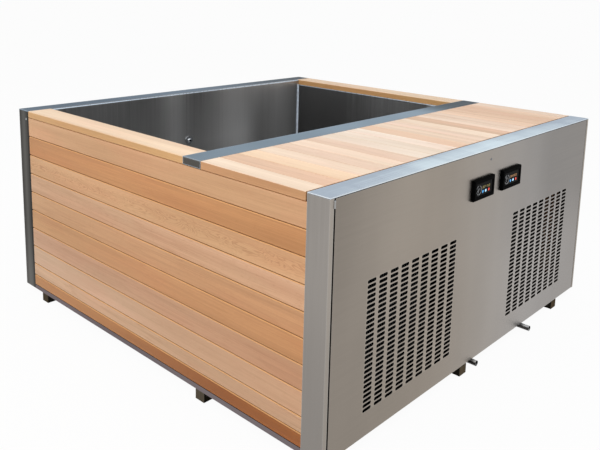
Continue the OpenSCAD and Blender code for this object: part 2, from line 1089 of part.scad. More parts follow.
// Slotted lock at the middle of the panel's upper edge
module panel_lock() {
  a = lock_slot / 2;
  color(zinc)
    difference() {
      union() {
        rod_y(0, yf - lock_h, yf, lock_z, lock_r);
        rod_y(0, yf, yf + lock_l, lock_z, lock_shank);
      }
      box(-lock_r - eps, lock_r + eps, yf - lock_h - eps, yf - lock_h / 2, lock_z - a, lock_z + a);
    }
}

// Controllers: a bevelled frame with a sunken screen, and the box behind the panel
module bevel_bar(l) {
  s = 4 * ctrl_bevel;
  translate([0, ctrl_bevel - s / sqrt(2), 0])
    rotate([45, 0, 0])
      cube([l, s, s], center = true);
}

module controller_frame(cx) {
  difference() {
    along_y(yf - ctrl_d, yf)
      difference() {
        ctrl_rect(cx, 0);
        ctrl_rect(cx, bezel_m);
      }
    translate([cx, yf - ctrl_d, ctrl_zc])
      for (s = [-1, 1]) {
        translate([0, 0, s * ctrl_h / 2])
          bevel_bar(2 * ctrl_w);
        translate([s * ctrl_w / 2, 0, 0])
          rotate([0, 90, 0])
            bevel_bar(2 * ctrl_h);
      }
  }
}

module controller_frames() {
  color(black)
    for (x = [ctrl_x1, ctrl_x2])
      controller_frame(x);
}

module controller_screens() {
  color(glass)
    for (x = [ctrl_x1, ctrl_x2])
      along_y(yf - ctrl_d + screen_in, yf)
        ctrl_rect(x, bezel_m + clear);
}

module controller_backs() {
  color(black)
    for (x = [ctrl_x1, ctrl_x2])
      along_y(yf, yf + back_d)
        ctrl_rect(x, back_m);
}

// Condensers: finned coils, shrouds, motors and rotors behind the grilles
module coil(cx) {
  x0 = cx - coil_w / 2;
  p = (coil_w - fin_t) / (fin_n - 1);
  y1 = coil_y + coil_d;
  ys = y1 - coil_back;
  translate([0, 0, zfl])
    linear_extrude(coil_z1 - zfl)
      polygon(concat([for (i = [0 : fin_n - 1]) each [[x0 + i * p, ys], [x0 + i * p, coil_y],
        [x0 + i * p + fin_t, coil_y], [x0 + i * p + fin_t, ys]]], [[x0 + coil_w, y1], [x0, y1]]));
}

module condenser_coils() {
  color(black)
    union() {
      coil(-grille_x);
      coil(grille_x);
    }
}

module fan_shroud(cx) {
  y0 = coil_y + coil_d;
  difference() {
    union() {
      box(cx - coil_w / 2, cx + coil_w / 2, y0, y0 + ring_t, zfl, coil_z1);
      rod_y(cx, y0, y0 + ring_l, gz, fan_r + ring_gap + ring_t);
    }
    rod_y(cx, y0 - eps, y0 + ring_l + eps, gz, fan_r + ring_gap);
  }
}

module fan_shrouds() {
  color(steel_dark)
    union() {
      fan_shroud(-grille_x);
      fan_shroud(grille_x);
    }
}

module fan_motor(cx) {
  yc = motor_y + motor_l / 2;
  difference() {
    union() {
      rod_y(cx, motor_y, motor_y + motor_l, gz, motor_r);
      box(cx - stand_w / 2, cx + stand_w / 2, yc - stand_d / 2, yc + stand_d / 2, zfl, gz);
      box(cx - sole_w / 2, cx + sole_w / 2, yc - sole_d / 2, yc + sole_d / 2, zfl, zfl + sole_t);
    }
    rod_y(cx, motor_y - eps, yc, gz, shaft_r + shaft_play);
  }
}

module fan_motors() {
  color(black)
    union() {
      fan_motor(-grille_x);
      fan_motor(grille_x);
    }
}

module fan_rotor(cx) {
  union() {
    rod_y(cx, fan_y - hub_l / 2, fan_y + hub_l / 2, gz, hub_r);
    rod_y(cx, fan_y, fan_y + shaft_l, gz, shaft_r);
    intersection() {
      rod_y(cx, fan_y - blade_w, fan_y + blade_w, gz, fan_r);
      translate([cx, fan_y, gz])
        for (i = [0 : blade_n - 1])
          rotate([0, i * 360 / blade_n, 0])
            rotate([0, 0, blade_pitch])
              translate([-blade_w / 2, -blade_t / 2, blade_root])
                cube([blade_w, blade_t, fan_r]);
    }
  }
}

module fan_rotor_left() {
  color(zinc)
    fan_rotor(-grille_x);
}

module fan_rotor_right() {
  color(zinc)
    fan_rotor(grille_x);
}

// Compressors on rubber pads
module compressors() {
  color(black)
    both_sides()
      translate([comp_x, comp_y, zfl + pad_h])
        rotate_extrude()
          polygon([[0, 0], [comp_r + comp_lip, 0], [comp_r + comp_lip, comp_lip_t], [comp_r, comp_lip_t],
            [comp_r, shoulder_h], [shoulder_r, shoulder_top], [dome_r, comp_h], [0, comp_h]]);
}

module compressor_pads() {
  r = comp_r - pad_in;
  color(black)
    both_sides()
      for (a = [45 : 90 : 315])
        rod_z(comp_x + r * cos(a), comp_y + r * sin(a), zfl, zfl + pad_h, pad_r);
}

module heat_exchangers() {
  color(steel)
    both_sides()
      box(hx_x - hx_w / 2, hx_x + hx_w / 2, hx_y - hx_d / 2, hx_y + hx_d / 2, zfl, hx_z1);
}

// Copper runs from compressor and exchanger to the coil
module copper_run(x, y, z0) {
  zr = coil_z1 + copper_up;
  yc = coil_y + coil_d - copper_in;
  pipe_run([[x, y, z0], [x, y, zr], [x, yc, zr], [x, yc, coil_z1]], copper_r);
}

module refrigerant_lines() {
  color(copper)
    both_sides() {
      copper_run(comp_x, comp_y, zfl + pad_h + comp_h);
      copper_run(hx_x, hx_y, hx_z1);
    }
}

// Circulation pump and filter
module pump() {
  ym = pump_y1 - volute_l;
  a = pump_foot_w / 2;
  y1 = ym - pump_foot_in;
  color(black)
    union() {
      rod_y(pump_x, pump_y1 - pump_l, ym, pump_z, pump_r - pump_in);
      rod_y(pump_x, ym, pump_y1, pump_z, pump_r);
      box(pump_x - a, pump_x + a, y1 - pump_foot_l, y1, zfl, pump_z - pump_foot_drop);
      rod_z(pump_x, pump_y1 - volute_l / 2, pump_z, pump_z + pump_r + pump_port_l, pipe_r + port_t);
    }
}

module filter_housing() {
  a = filt_r + port_l;
  color(white)
    union() {
      rod_z(filt_x, filt_y, zfl, zfl + filt_h, filt_r);
      rod_x(filt_x - a, filt_x + a, filt_y, loop_z, pipe_r + port_t);
    }
}

module filter_cap() {
  z0 = zfl + filt_h;
  z1 = z0 + filt_cap_h;
  x1 = filt_x + filt_r + filt_cap_lip + port_t;
  color(black)
    union() {
      rod_z(filt_x, filt_y, z0, z1, filt_r + filt_cap_lip);
      for (a = [0 : 45 : 315])
        turned_about(filt_x, filt_y, a)
          box(x1 - rib_l, x1, filt_y - rib_w / 2, filt_y + rib_w / 2, z0 + rib_in, z1 - rib_in);
    }
}

// Water runs from the suction through pump, filter and exchangers, and back to the jet
module water_pipes() {
  yp = pump_y1 - volute_l / 2;
  fx = filt_r + port_l;
  hx = hx_x - hx_w / 2;
  color(white)
    union() {
      pipe_run([[suck_x, tub_y0 - tub_t - tail_l, suck_z], [suck_x, suck_y, suck_z],
        [pump_x, suck_y, suck_z], [pump_x, suck_y, pump_z], [pump_x, pump_y1, pump_z]], pipe_r);
      pipe_run([[pump_x, yp, pump_z + pump_r + pump_port_l], [pump_x, yp, loop_z],
        [pump_x, filt_y, loop_z], [filt_x + fx, filt_y, loop_z]], pipe_r);
      pipe_run([[filt_x - fx, filt_y, loop_z], [-hx, filt_y, loop_z]], pipe_r);
      pipe_run([[-hx, hx_y, link_z], [hx, hx_y, link_z]], pipe_r);
      pipe_run([[-hx_x, hx_y + hx_d / 2, ret_z], [-hx_x, suck_y, ret_z], [ret_x, suck_y, ret_z],
        [ret_x, ret_y, ret_z], [jet_x, ret_y, ret_z], [jet_x, ret_y, jz],
        [jet_x, tub_y1 + jet_tail, jz]], pipe_r);
    }
}

module electrical_box() {
  x1 = ebox_x0 + ebox_w;
  y0 = bulk_y0 - ebox_d;
  z0 = link_z + ebox_gap;
  z1 = zc - ebox_top;
  color(white)
    union() {
      box(ebox_x0, x1, y0, bulk_y0, z0, z1);
      box(ebox_x0 + lid_t, x1 - lid_t, y0 - lid_t, y0, z0 + lid_t, z1 - lid_t);
    }
}

module cable_gland() {
  z1 = zfl + gland_h;
  color(black)
    union() {
      rod_z(gland_x, over_y, zfl, z1, gland_r + gland_lip);
      rod_z(gland_x, over_y, zf - gland_drop, zfl, gland_r - clear);
      rod_z(gland_x, over_y, z1, z1 + gland_h, gland_r - eps);
    }
}

// Return jet in the rear wall: a fixed flange with a ball nozzle that is aimed
module jet_body() {
  y0 = tub_y1 - jet_yc;
  color(steel)
    turned_at(jet_x, jet_yc, jz)
      difference() {
        union() {
          translate([jet_bore, y0 - jet_lip])
            square([jet_r - jet_bore, jet_lip]);
          translate([jet_bore, y0])
            square([jet_hole - clear - jet_bore, jet_tail]);
        }
        circle(r = ball_r + clear);
      }
}

module jet_nozzle() {
  color(steel)
    turned_at(jet_x, jet_yc, jz)
      intersection() {
        circle(r = ball_r);
        translate([ball_bore, ball_cut - ball_r])
          square([ball_r, 2 * ball_r - ball_cut]);
      }
}

// Covers of the suction and overflow openings in the tub's front wall
module slotted_cover(x, z, r, tail_r) {
  n = 2 * floor(r / 15) + 1;
  p = 1.5 * r / n;
  translate([x, tub_y0, z])
    difference() {
      union() {
        rod_y(0, 0, 2 * tail_t, 0, r);
        rod_y(0, -tub_t - tail_l, 0, 0, tail_r - clear);
      }
      rod_y(0, -tub_t - tail_l - eps, tail_t, 0, tail_r - 1.5 * tail_t);
      for (i = [0 : n - 1])
        translate([0, 0, (i - (n - 1) / 2) * p])
          box(-r / 2, r / 2, tail_t / 2, 2 * tail_t + eps, -p / 4, p / 4);
    }
}

module suction_cover() {
  color(steel)
    slotted_cover(suck_x, suck_z, suck_r, pipe_r + tail_t);
}

module overflow_cover() {
  color(steel)
    slotted_cover(over_x, over_z, over_r, stub_r + tail_t);
}

module floor_drain() {
  color(steel)
    difference() {
      union() {
        rod_z(drain_x, drain_y, tub_z, tub_z + drain_lip_t, drain_lip_r);
        rod_z(drain_x, drain_y, drain_z + stub_r + drain_stem, tub_z, drain_hole - clear);
      }
      rod_z(drain_x, drain_y, drain_z, tub_z - stub_t, drain_bore);
      for (a = [0 : 45 : 315])
        turned_about(drain_x, drain_y, a)
          rod_z(drain_x + drain_ring_r, drain_y, tub_z - drain_lip_t - stub_t, tub_z + drain_lip_t + eps,
            drain_slot_r);
    }
}

// Drain run under the tub to the valve, then down and out under the panel
module outlet_bore(x, out) {
  rod_y(x, yf - out - eps, yf + stub_bore_l, stub_z, stub_r - stub_t);
}

module drain_pipe() {
  color(steel)
    difference() {
      union() {
        pipe_run([[drain_x, drain_y, drain_z + stub_r + drain_stem], [drain_x, drain_y, drain_z],
          [drain_x, valve_y + valve_l / 2, drain_z]], stub_r);
        pipe_run([[drain_x, valve_y - valve_l / 2, drain_z], [drain_x, drop_y, drain_z],
          [drain_x, drop_y, stub_z], [drain_x, yf - stub_out, stub_z]], stub_r);
      }
      outlet_bore(drain_x, stub_out);
    }
}

module drain_valve() {
  a = valve_foot_w / 2;
  b = valve_foot_d / 2;
  z1 = drain_z + bonnet_h;
  color(zinc)
    union() {
      rod_y(drain_x, valve_y - valve_l / 2, valve_y + valve_l / 2, drain_z, stub_r + valve_t);
      rod_z(drain_x, valve_y, drain_z, z1, bonnet_r);
      rod_z(drain_x, valve_y, z1, z1 + stem_h, stem_r);
      box(drain_x - a, drain_x + a, valve_y - b, valve_y + b, zfl, drain_z - valve_foot_in);
    }
}

module drain_lever() {
  z0 = drain_z + bonnet_h + clear;
  a = lever_w / 2;
  color(lever_red)
    difference() {
      union() {
        rod_z(drain_x, valve_y, z0, z0 + lever_hub_t, lever_hub_r);
        box(drain_x - a, drain_x + a, valve_y, valve_y + lever_l, z0, z0 + lever_t);
      }
      rod_z(drain_x, valve_y, z0 - eps, z0 + lever_hub_t + eps, stem_r + stem_play);
    }
}

module overflow_pipe() {
  color(steel)
    difference() {
      pipe_run([[over_x, tub_y0 - tub_t - tail_l, over_z], [over_x, over_y, over_z],
        [over_x, over_y, stub_z], [over_x, yf - stub_out2, stub_z]], stub_r);
      outlet_bore(over_x, stub_out2);
    }
}

base_side_rails();
base_beams();
feet();
front_posts();
rear_posts();
front_rail();
rear_rail();
cross_bar();
bulkhead();
rear_panel();
rear_screws();
side_uprights();
cladding_left();
cladding_right();
lower_boards();
caps();
tub_floor();
tub_walls();
tub_corners();
insulation();
bay_floor();
deck_bearers();
deck_slats();
deck_battens();
deck_screws();
door_panel();
door_stiffeners();
door_strikers();
door_magnets();
hinge_fixed();
hinge_moving();
hinge_pins();
panel_lock();
controller_frames();
controller_screens();
controller_backs();
condenser_coils();
fan_shrouds();
fan_motors();
fan_rotor_left();
fan_rotor_right();
compressors();
compressor_pads();
heat_exchangers();
refrigerant_lines();
pump();
filter_housing();
filter_cap();
water_pipes();
electrical_box();
cable_gland();
jet_body();
jet_nozzle();
suction_cover();
overflow_cover();
floor_drain();
drain_pipe();
drain_valve();
drain_lever();
overflow_pipe();
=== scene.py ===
import math

import bmesh
import bpy
from mathutils import Matrix, Vector


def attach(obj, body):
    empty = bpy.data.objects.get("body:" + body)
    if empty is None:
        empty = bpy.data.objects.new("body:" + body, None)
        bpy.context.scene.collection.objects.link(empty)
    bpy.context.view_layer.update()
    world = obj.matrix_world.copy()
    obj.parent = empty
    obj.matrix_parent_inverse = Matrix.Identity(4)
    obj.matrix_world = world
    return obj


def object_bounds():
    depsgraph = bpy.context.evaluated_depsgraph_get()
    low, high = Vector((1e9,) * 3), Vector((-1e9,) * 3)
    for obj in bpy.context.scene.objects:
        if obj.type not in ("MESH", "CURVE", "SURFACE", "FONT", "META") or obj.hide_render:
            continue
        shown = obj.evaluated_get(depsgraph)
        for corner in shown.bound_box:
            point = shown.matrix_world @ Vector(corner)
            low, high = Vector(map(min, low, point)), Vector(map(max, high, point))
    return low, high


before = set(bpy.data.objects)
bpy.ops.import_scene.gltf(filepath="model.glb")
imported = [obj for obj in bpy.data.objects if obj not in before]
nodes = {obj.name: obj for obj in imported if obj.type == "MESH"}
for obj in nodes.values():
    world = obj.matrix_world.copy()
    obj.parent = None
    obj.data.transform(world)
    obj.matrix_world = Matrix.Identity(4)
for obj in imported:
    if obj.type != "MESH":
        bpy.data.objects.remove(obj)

cad_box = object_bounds()
HALF_WIDTH = cad_box[1][0]
TOP = cad_box[1][2]
scene = bpy.context.scene


# Camera, fitted to the corners of the body in the 600 by 450 picture

IMAGE_W = 600
IMAGE_H = 450
FOCAL_PX = 710.396
AXIS_PX = (300.4, 110.0)
CAM_AZIMUTH = -47.293
CAM_ELEVATION = 10.065
CAM_ROLL = 1.394
CAM_PLACE = (-2.5741, -2.3028, 1.5723)
SENSOR_MM = 36.0
CLIP_END = 3000


def make_camera():
    az, el, roll = (math.radians(v) for v in (CAM_AZIMUTH, CAM_ELEVATION, CAM_ROLL))
    back = Vector((math.sin(az) * math.cos(el), -math.cos(az) * math.cos(el), math.sin(el)))
    right = Vector((0, 0, 1)).cross(back).normalized()
    up = back.cross(right)
    turned_right = right * math.cos(roll) + up * math.sin(roll)
    turned_up = up * math.cos(roll) - right * math.sin(roll)
    data = bpy.data.cameras.new("camera")
    data.sensor_width = SENSOR_MM
    data.lens = FOCAL_PX * SENSOR_MM / IMAGE_W
    data.shift_x = (IMAGE_W / 2 - AXIS_PX[0]) / IMAGE_W
    data.shift_y = (AXIS_PX[1] - IMAGE_H / 2) / IMAGE_W
    data.clip_end = CLIP_END
    cam = bpy.data.objects.new("camera", data)
    scene.collection.objects.link(cam)
    columns = Matrix((turned_right, turned_up, back)).transposed()
    cam.matrix_world = Matrix.Translation(CAM_PLACE) @ columns.to_4x4()
    scene.camera = cam


# Small helpers for node graphs

def srgb(r, g, b):
    """A colour written in 0 to 255 screen values, as linear light with alpha."""
    def lin(v):
        v /= 255
        return v / 12.92 if v <= 0.04045 else ((v + 0.055) / 1.055) ** 2.4
    return (lin(r), lin(g), lin(b), 1.0)


def shade(colour, factor):
    return tuple(min(1.0, c * factor) for c in colour[:3]) + (1.0,)


class Graph:
    """The emptied node tree of a material or world, with short ways to fill it."""

    def __init__(self, owner):
        self.owner = owner
        owner.use_nodes = True
        self.tree = owner.node_tree
        self.tree.nodes.clear()

    @classmethod
    def material(cls, name):
        return cls(bpy.data.materials.new(name))

    def add(self, kind, sockets=None, **settings):
        node = self.tree.nodes.new(kind)
        for key, value in settings.items():
            setattr(node, key, value)
        for key, value in (sockets or {}).items():
            self.put(node.inputs[key], value)
        return node

    def put(self, socket, value):
        if isinstance(value, bpy.types.NodeSocket):
            self.tree.links.new(value, socket)
        else:
            socket.default_value = value

    def math(self, operation, a, b=0.0, c=0.0, clamp=False):
        node = self.add("ShaderNodeMath", operation=operation, use_clamp=clamp)
        for socket, value in zip(node.inputs, (a, b, c)):
            self.put(socket, value)
        return node.outputs[0]

    def mix(self, factor, a, b, blend="MIX"):
        node = self.add("ShaderNodeMix", data_type="RGBA", blend_type=blend)
        self.put(node.inputs[0], factor)
        self.put(node.inputs[6], a)
        self.put(node.inputs[7], b)
        return node.outputs[2]

    def span(self, value, low, high, to_low=0.0, to_high=1.0, smooth=False):
        """The value carried from one range to another, and held at the ends."""
        kind = "SMOOTHSTEP" if smooth else "LINEAR"
        node = self.add("ShaderNodeMapRange", {0: value, 1: low, 2: high, 3: to_low, 4: to_high},
                        interpolation_type=kind)
        return node.outputs[0]

    def place(self):
        return self.add("ShaderNodeTexCoord").outputs["Object"]

    def axes(self, vector):
        return self.add("ShaderNodeSeparateXYZ", {0: vector}).outputs

    def facing(self):
        """The way a face looks, in the object's own axes."""
        return self.axes(self.add("ShaderNodeTexCoord").outputs["Normal"])

    def scaled(self, vector, scale, offset=None):
        node = self.add("ShaderNodeVectorMath", operation="MULTIPLY")
        self.put(node.inputs[0], vector)
        self.put(node.inputs[1], scale)
        if offset is None:
            return node.outputs[0]
        total = self.add("ShaderNodeVectorMath", operation="ADD")
        self.put(total.inputs[0], node.outputs[0])
        self.put(total.inputs[1], offset)
        return total.outputs[0]

    def noise(self, vector, scale=1.0, detail=2.0, rough=0.5, distort=0.0):
        node = self.add("ShaderNodeTexNoise", {"Vector": vector, "Scale": scale, "Detail": detail,
                                               "Roughness": rough, "Distortion": distort})
        return node.outputs[0]

    def edge(self, radius, gain=5.0):
        """Near 1 on a sharp edge and 0 on a flat face."""
        bevel = self.add("ShaderNodeBevel", {"Radius": radius}, samples=4)
        normal = self.add("ShaderNodeNewGeometry").outputs["Normal"]
        dot = self.add("ShaderNodeVectorMath", {0: bevel.outputs[0], 1: normal},
                       operation="DOT_PRODUCT")
        turn = self.math("SUBTRACT", 1.0, dot.outputs["Value"])
        return self.math("MULTIPLY", turn, gain, clamp=True)

    def bump(self, height, strength, distance):
        sockets = {"Strength": strength, "Distance": distance, "Height": height}
        return self.add("ShaderNodeBump", sockets).outputs[0]

    def finish(self, **sockets):
        """A principled surface; the sockets are named with _ for each space."""
        named = {key.replace("_", " "): value for key, value in sockets.items()}
        self.show(self.add("ShaderNodeBsdfPrincipled", named), "ShaderNodeOutputMaterial")
        return self.owner

    def show(self, shader, output):
        out = self.add(output)
        self.tree.links.new(shader.outputs[0], out.inputs[0])


def wear(*names):
    """A function that gives one material to the named CAD nodes."""
    def put_on(material):
        for name in names:
            slots = nodes[name].data.materials
            slots.clear()
            slots.append(material)
    return put_on


# Metals

STREAKS = {"X": (1.4, 95, 95), "Y": (95, 1.4, 95), "Z": (95, 95, 1.4)}
SEED_STEP = (3.7, 1.9, 2.3)
CLOUD_SHARE, COARSE_SHARE, FINE_SHARE = 0.6, 0.26, 0.14


def steel(name, tone, along, spread=0.16, rough=0.34, edge_highlight=None, edge_highlight_share=0.5,
          edge_width=0.003, painted_bands=None, seed=0.0, graze=0.8, lip=False, painted_by_facing=(),
          clouds=(1, 1, 1), drift=None, satin=0.0, shade_cut=None):
    """Brushed sheet: soft clouds, coarse and fine brushing along one axis, and brighter edges that
    are a painted highlight.

    graze is how much of its tone the sheet keeps when seen edge on; lip paints a highlight on
    rounded edges; painted_by_facing gives faces that look along an axis, as (axis, sign), a tone
    of their own, painted lighter or darker as light falls on them; drift is a tone that the sheet
    turns to along X, with where that begins and ends, as painted reflection; satin is how much its
    painted light bands scatter; shade_cut is a painted shade tone for slot walls and the rings
    around the slots, with a function that finds them."""
    g = Graph.material(name)
    place = g.place()
    shift = tuple(seed * step for step in SEED_STEP)
    cloud = g.noise(g.scaled(place, clouds, shift), 1.5, 2.0, 0.45)
    coarse = g.noise(g.scaled(place, STREAKS[along], shift), 1.0, 2.0, 0.5)
    fine = g.noise(g.scaled(place, STREAKS[along], shift), 6.0, 1.0, 0.5)
    level = g.math("MULTIPLY", cloud, CLOUD_SHARE)
    level = g.math("MULTIPLY_ADD", coarse, COARSE_SHARE, level)
    level = g.math("MULTIPLY_ADD", fine, FINE_SHARE, level)
    level = g.span(level, 0.34, 0.66)
    # Painted light and shade: a band function raises or lowers the level by place
    if painted_bands:
        level = painted_bands(g, place, level)

    def streaked(middle, width):
        return g.mix(level, shade(middle, 1 - width), shade(middle, 1 + width))

    colour = streaked(tone, spread)
    # Painted reflection: the tone turns to another along X
    if drift:
        other, begin, end = drift
        along_x = g.span(g.axes(place)[0], begin, end, smooth=True)
        colour = g.mix(along_x, colour, streaked(other, spread))
    look = g.facing()
    # Painted light and shade: faces that look along an axis take a tone of their own
    for axis, sign, other in painted_by_facing:
        here = g.span(g.math("MULTIPLY", look["XYZ".index(axis)], sign), 0.5, 0.8)
        colour = g.mix(here, colour, streaked(other, spread))
    # Painted shade on the slot walls and on a ring around each slot
    if shade_cut:
        shade_tone, find = shade_cut
        colour = g.mix(find(g, place, look), colour, streaked(shade_tone, 0.2))
    # Painted highlight: edges, and rounded lips, turn toward a brighter tone
    edge = g.edge(edge_width)
    if lip:
        rounded = g.math("MULTIPLY", g.span(look[2], 0.2, 0.5), g.span(look[2], 0.985, 0.93))
        edge = g.math("MAXIMUM", edge, rounded)
    if edge_highlight:
        colour = g.mix(g.math("MULTIPLY", edge, edge_highlight_share), colour, edge_highlight)
    dull = g.math("MULTIPLY_ADD", coarse, 0.16, rough - 0.08)
    dull = g.math("MULTIPLY_ADD", edge, -0.06, dull)
    brightest = max(tone[:3])
    grazing = tuple(min(1.0, graze * (0.4 + 0.6 * c / brightest)) for c in tone[:3]) + (1.0,)
    metal = g.math("MULTIPLY_ADD", level, -satin, 1.0) if satin else 1.0
    return g.finish(Base_Color=colour, Metallic=metal, Roughness=dull, Specular_Tint=grazing,
                    Normal=g.bump(fine, 0.12, 0.0004))


# Y over which an outlet stub clears the panel; toward the root it is painted darker as shade
STUB_ROOT = (-1.0, -0.985)


def polished(name, tone, rough=0.12, painted_shade=None, satin=0.0):
    """Polished fitting with faint turning marks and smudges.

    painted_shade is the tone of its lower half and its root, painted as shade; satin is the
    share of light it scatters."""
    g = Graph.material(name)
    place = g.place()
    smudge = g.noise(place, 40.0, 3.0, 0.6)
    marks = g.noise(g.scaled(place, (900, 60, 900)), 1.0, 1.0)
    colour = g.mix(g.span(smudge, 0.3, 0.7), shade(tone, 0.86), shade(tone, 1.1))
    # Painted shade: the lower half and the root turn to a dark tone
    if painted_shade:
        colour = g.mix(g.span(g.facing()[2], 0.78, 0.4), colour, painted_shade)
        colour = g.mix(g.span(g.axes(place)[1], *STUB_ROOT, 0.0, 0.8), colour, painted_shade)
    return g.finish(Base_Color=colour, Metallic=1.0 - satin,
                    Roughness=g.math("MULTIPLY_ADD", smudge, 0.14, rough - 0.05),
                    Normal=g.bump(marks, 0.05, 0.0002))


def plated(name, tone, rough=0.42, grain=60.0, metallic=1.0, ior=1.5, tip=None):
    """Zinc-plated or enamelled sheet: cloudy spangle and lightly rubbed edges.

    tip is the tone of the front edges of fins, painted lighter as a highlight."""
    g = Graph.material(name)
    place = g.place()
    spangle = g.add("ShaderNodeTexVoronoi", {"Vector": place, "Scale": grain}).outputs["Color"]
    flake = g.axes(spangle)[0]
    cloud = g.noise(place, 7.0, 3.0, 0.55)
    amount = g.math("MULTIPLY_ADD", flake, 0.3, g.math("MULTIPLY", cloud, 0.7))
    colour = g.mix(g.span(amount, 0.25, 0.75), shade(tone, 0.82), shade(tone, 1.14))
    colour = g.mix(g.math("MULTIPLY", g.edge(0.0015), 0.3), colour, shade(tone, 1.6))
    # Painted highlight on the fins' front edges
    if tip:
        tip_highlight = g.mix(g.span(cloud, 0.3, 0.7), shade(tip, 0.8), shade(tip, 1.2))
        colour = g.mix(g.span(g.facing()[1], -0.7, -0.9), colour, tip_highlight)
    return g.finish(Base_Color=colour, Metallic=metallic, IOR=ior,
                    Roughness=g.math("MULTIPLY_ADD", cloud, 0.2, rough - 0.1),
                    Normal=g.bump(g.noise(place, 420.0, 2.0), 0.08, 0.0003))


# Plastics, foam and rubber

RUBBED_AND_HIGHLIGHT_SHARE = 0.25


def moulded(name, tone, rough=0.45, grain=900.0, rubbed_and_highlight=1.8, ior=1.5):
    """Moulded plastic or rubber: fine texture, faint mottling, edges paler, partly rubbed and
    partly a painted highlight.

    grain is the scale of the texture; rubbed_and_highlight is how much paler the edges are."""
    g = Graph.material(name)
    place = g.place()
    mottle = g.noise(place, 30.0, 4.0, 0.6)
    pores = g.noise(place, grain, 2.0, 0.5)
    colour = g.mix(g.span(mottle, 0.3, 0.7), shade(tone, 0.88), shade(tone, 1.12))
    # Paler edges: rubbing, and a painted highlight where the paling is strong
    colour = g.mix(g.math("MULTIPLY", g.edge(0.0012), RUBBED_AND_HIGHLIGHT_SHARE), colour, shade(tone, rubbed_and_highlight))
    return g.finish(Base_Color=colour, IOR=ior,
                    Roughness=g.math("MULTIPLY_ADD", mottle, 0.16, rough - 0.08),
                    Normal=g.bump(pores, 0.12, 0.0002))


def foam(name, tone):
    """Closed-cell foam, matt and a little stained."""
    g = Graph.material(name)
    place = g.place()
    cells = g.add("ShaderNodeTexVoronoi", {"Vector": place, "Scale": 260.0}).outputs["Distance"]
    stain = g.noise(place, 5.0, 4.0, 0.6)
    colour = g.mix(g.span(stain, 0.3, 0.7), shade(tone, 0.84), tone)
    return g.finish(Base_Color=colour, Roughness=g.math("MULTIPLY_ADD", stain, 0.1, 0.82),
                    Normal=g.bump(cells, 0.3, 0.0008))


def glass_cover(name, tone):
    """Gloss cover of a display: nearly black, with a faint panel glow and finger smudges."""
    g = Graph.material(name)
    place = g.place()
    smudge = g.noise(place, 55.0, 4.0, 0.6)
    colour = g.mix(g.span(smudge, 0.35, 0.7), shade(tone, 0.7), shade(tone, 1.5))
    return g.finish(Base_Color=colour, Roughness=g.math("MULTIPLY_ADD", smudge, 0.18, 0.2),
                    IOR=1.07, Normal=g.bump(smudge, 0.02, 0.0002))


def lamp_paint(name, tone, strength):
    """A lit mark on a display, a little uneven."""
    g = Graph.material(name)
    place = g.place()
    spots = g.noise(place, 700.0, 2.0, 0.5)
    colour = g.mix(g.span(spots, 0.3, 0.7), shade(tone, 0.8), tone)
    return g.finish(Base_Color=colour, Emission_Color=colour, Emission_Strength=strength,
                    Roughness=g.math("MULTIPLY_ADD", spots, 0.2, 0.3),
                    Normal=g.bump(spots, 0.05, 0.0001))


# Cedar. Boards run along Y; a board's number picks its tone and moves its figure

# Tints painted on the flanks of the caps and deck as shade
DECK_FLANK_SHADE = (0.61, 0.41, 0.25, 1.0)
CAP_FLANK_SHADE = (0.73, 0.56, 0.34, 1.0)
# Tint of the seams: a dark line in each groove and painted shade under each board
GROOVE = (0.45, 0.26, 0.09, 1.0)
LATE_WOOD = (0.70, 0.56, 0.44, 1.0)
KNOT = (0.42, 0.27, 0.17, 1)
SEAM = 0.0019
BLUSH = (1.02, 0.965, 0.965, 1.0)
LOW_TINT_FROM_Y = 0.9
LOG_STEP = (31.0, 17.0, 23.0)


def board_tone(g, number, tones):
    """One stop for each board, so that neighbours differ as sawn boards do."""
    ramp = g.add("ShaderNodeValToRGB")
    stops = ramp.color_ramp
    stops.interpolation = "CONSTANT"
    count = len(tones)
    while len(stops.elements) < count:
        stops.elements.new(1.0)
    for i, tone in enumerate(tones):
        stops.elements[i].position = i / count
        stops.elements[i].color = tone
    g.put(ramp.inputs[0], g.math("DIVIDE", g.math("ADD", number, 0.5), float(count)))
    return ramp.outputs[0]


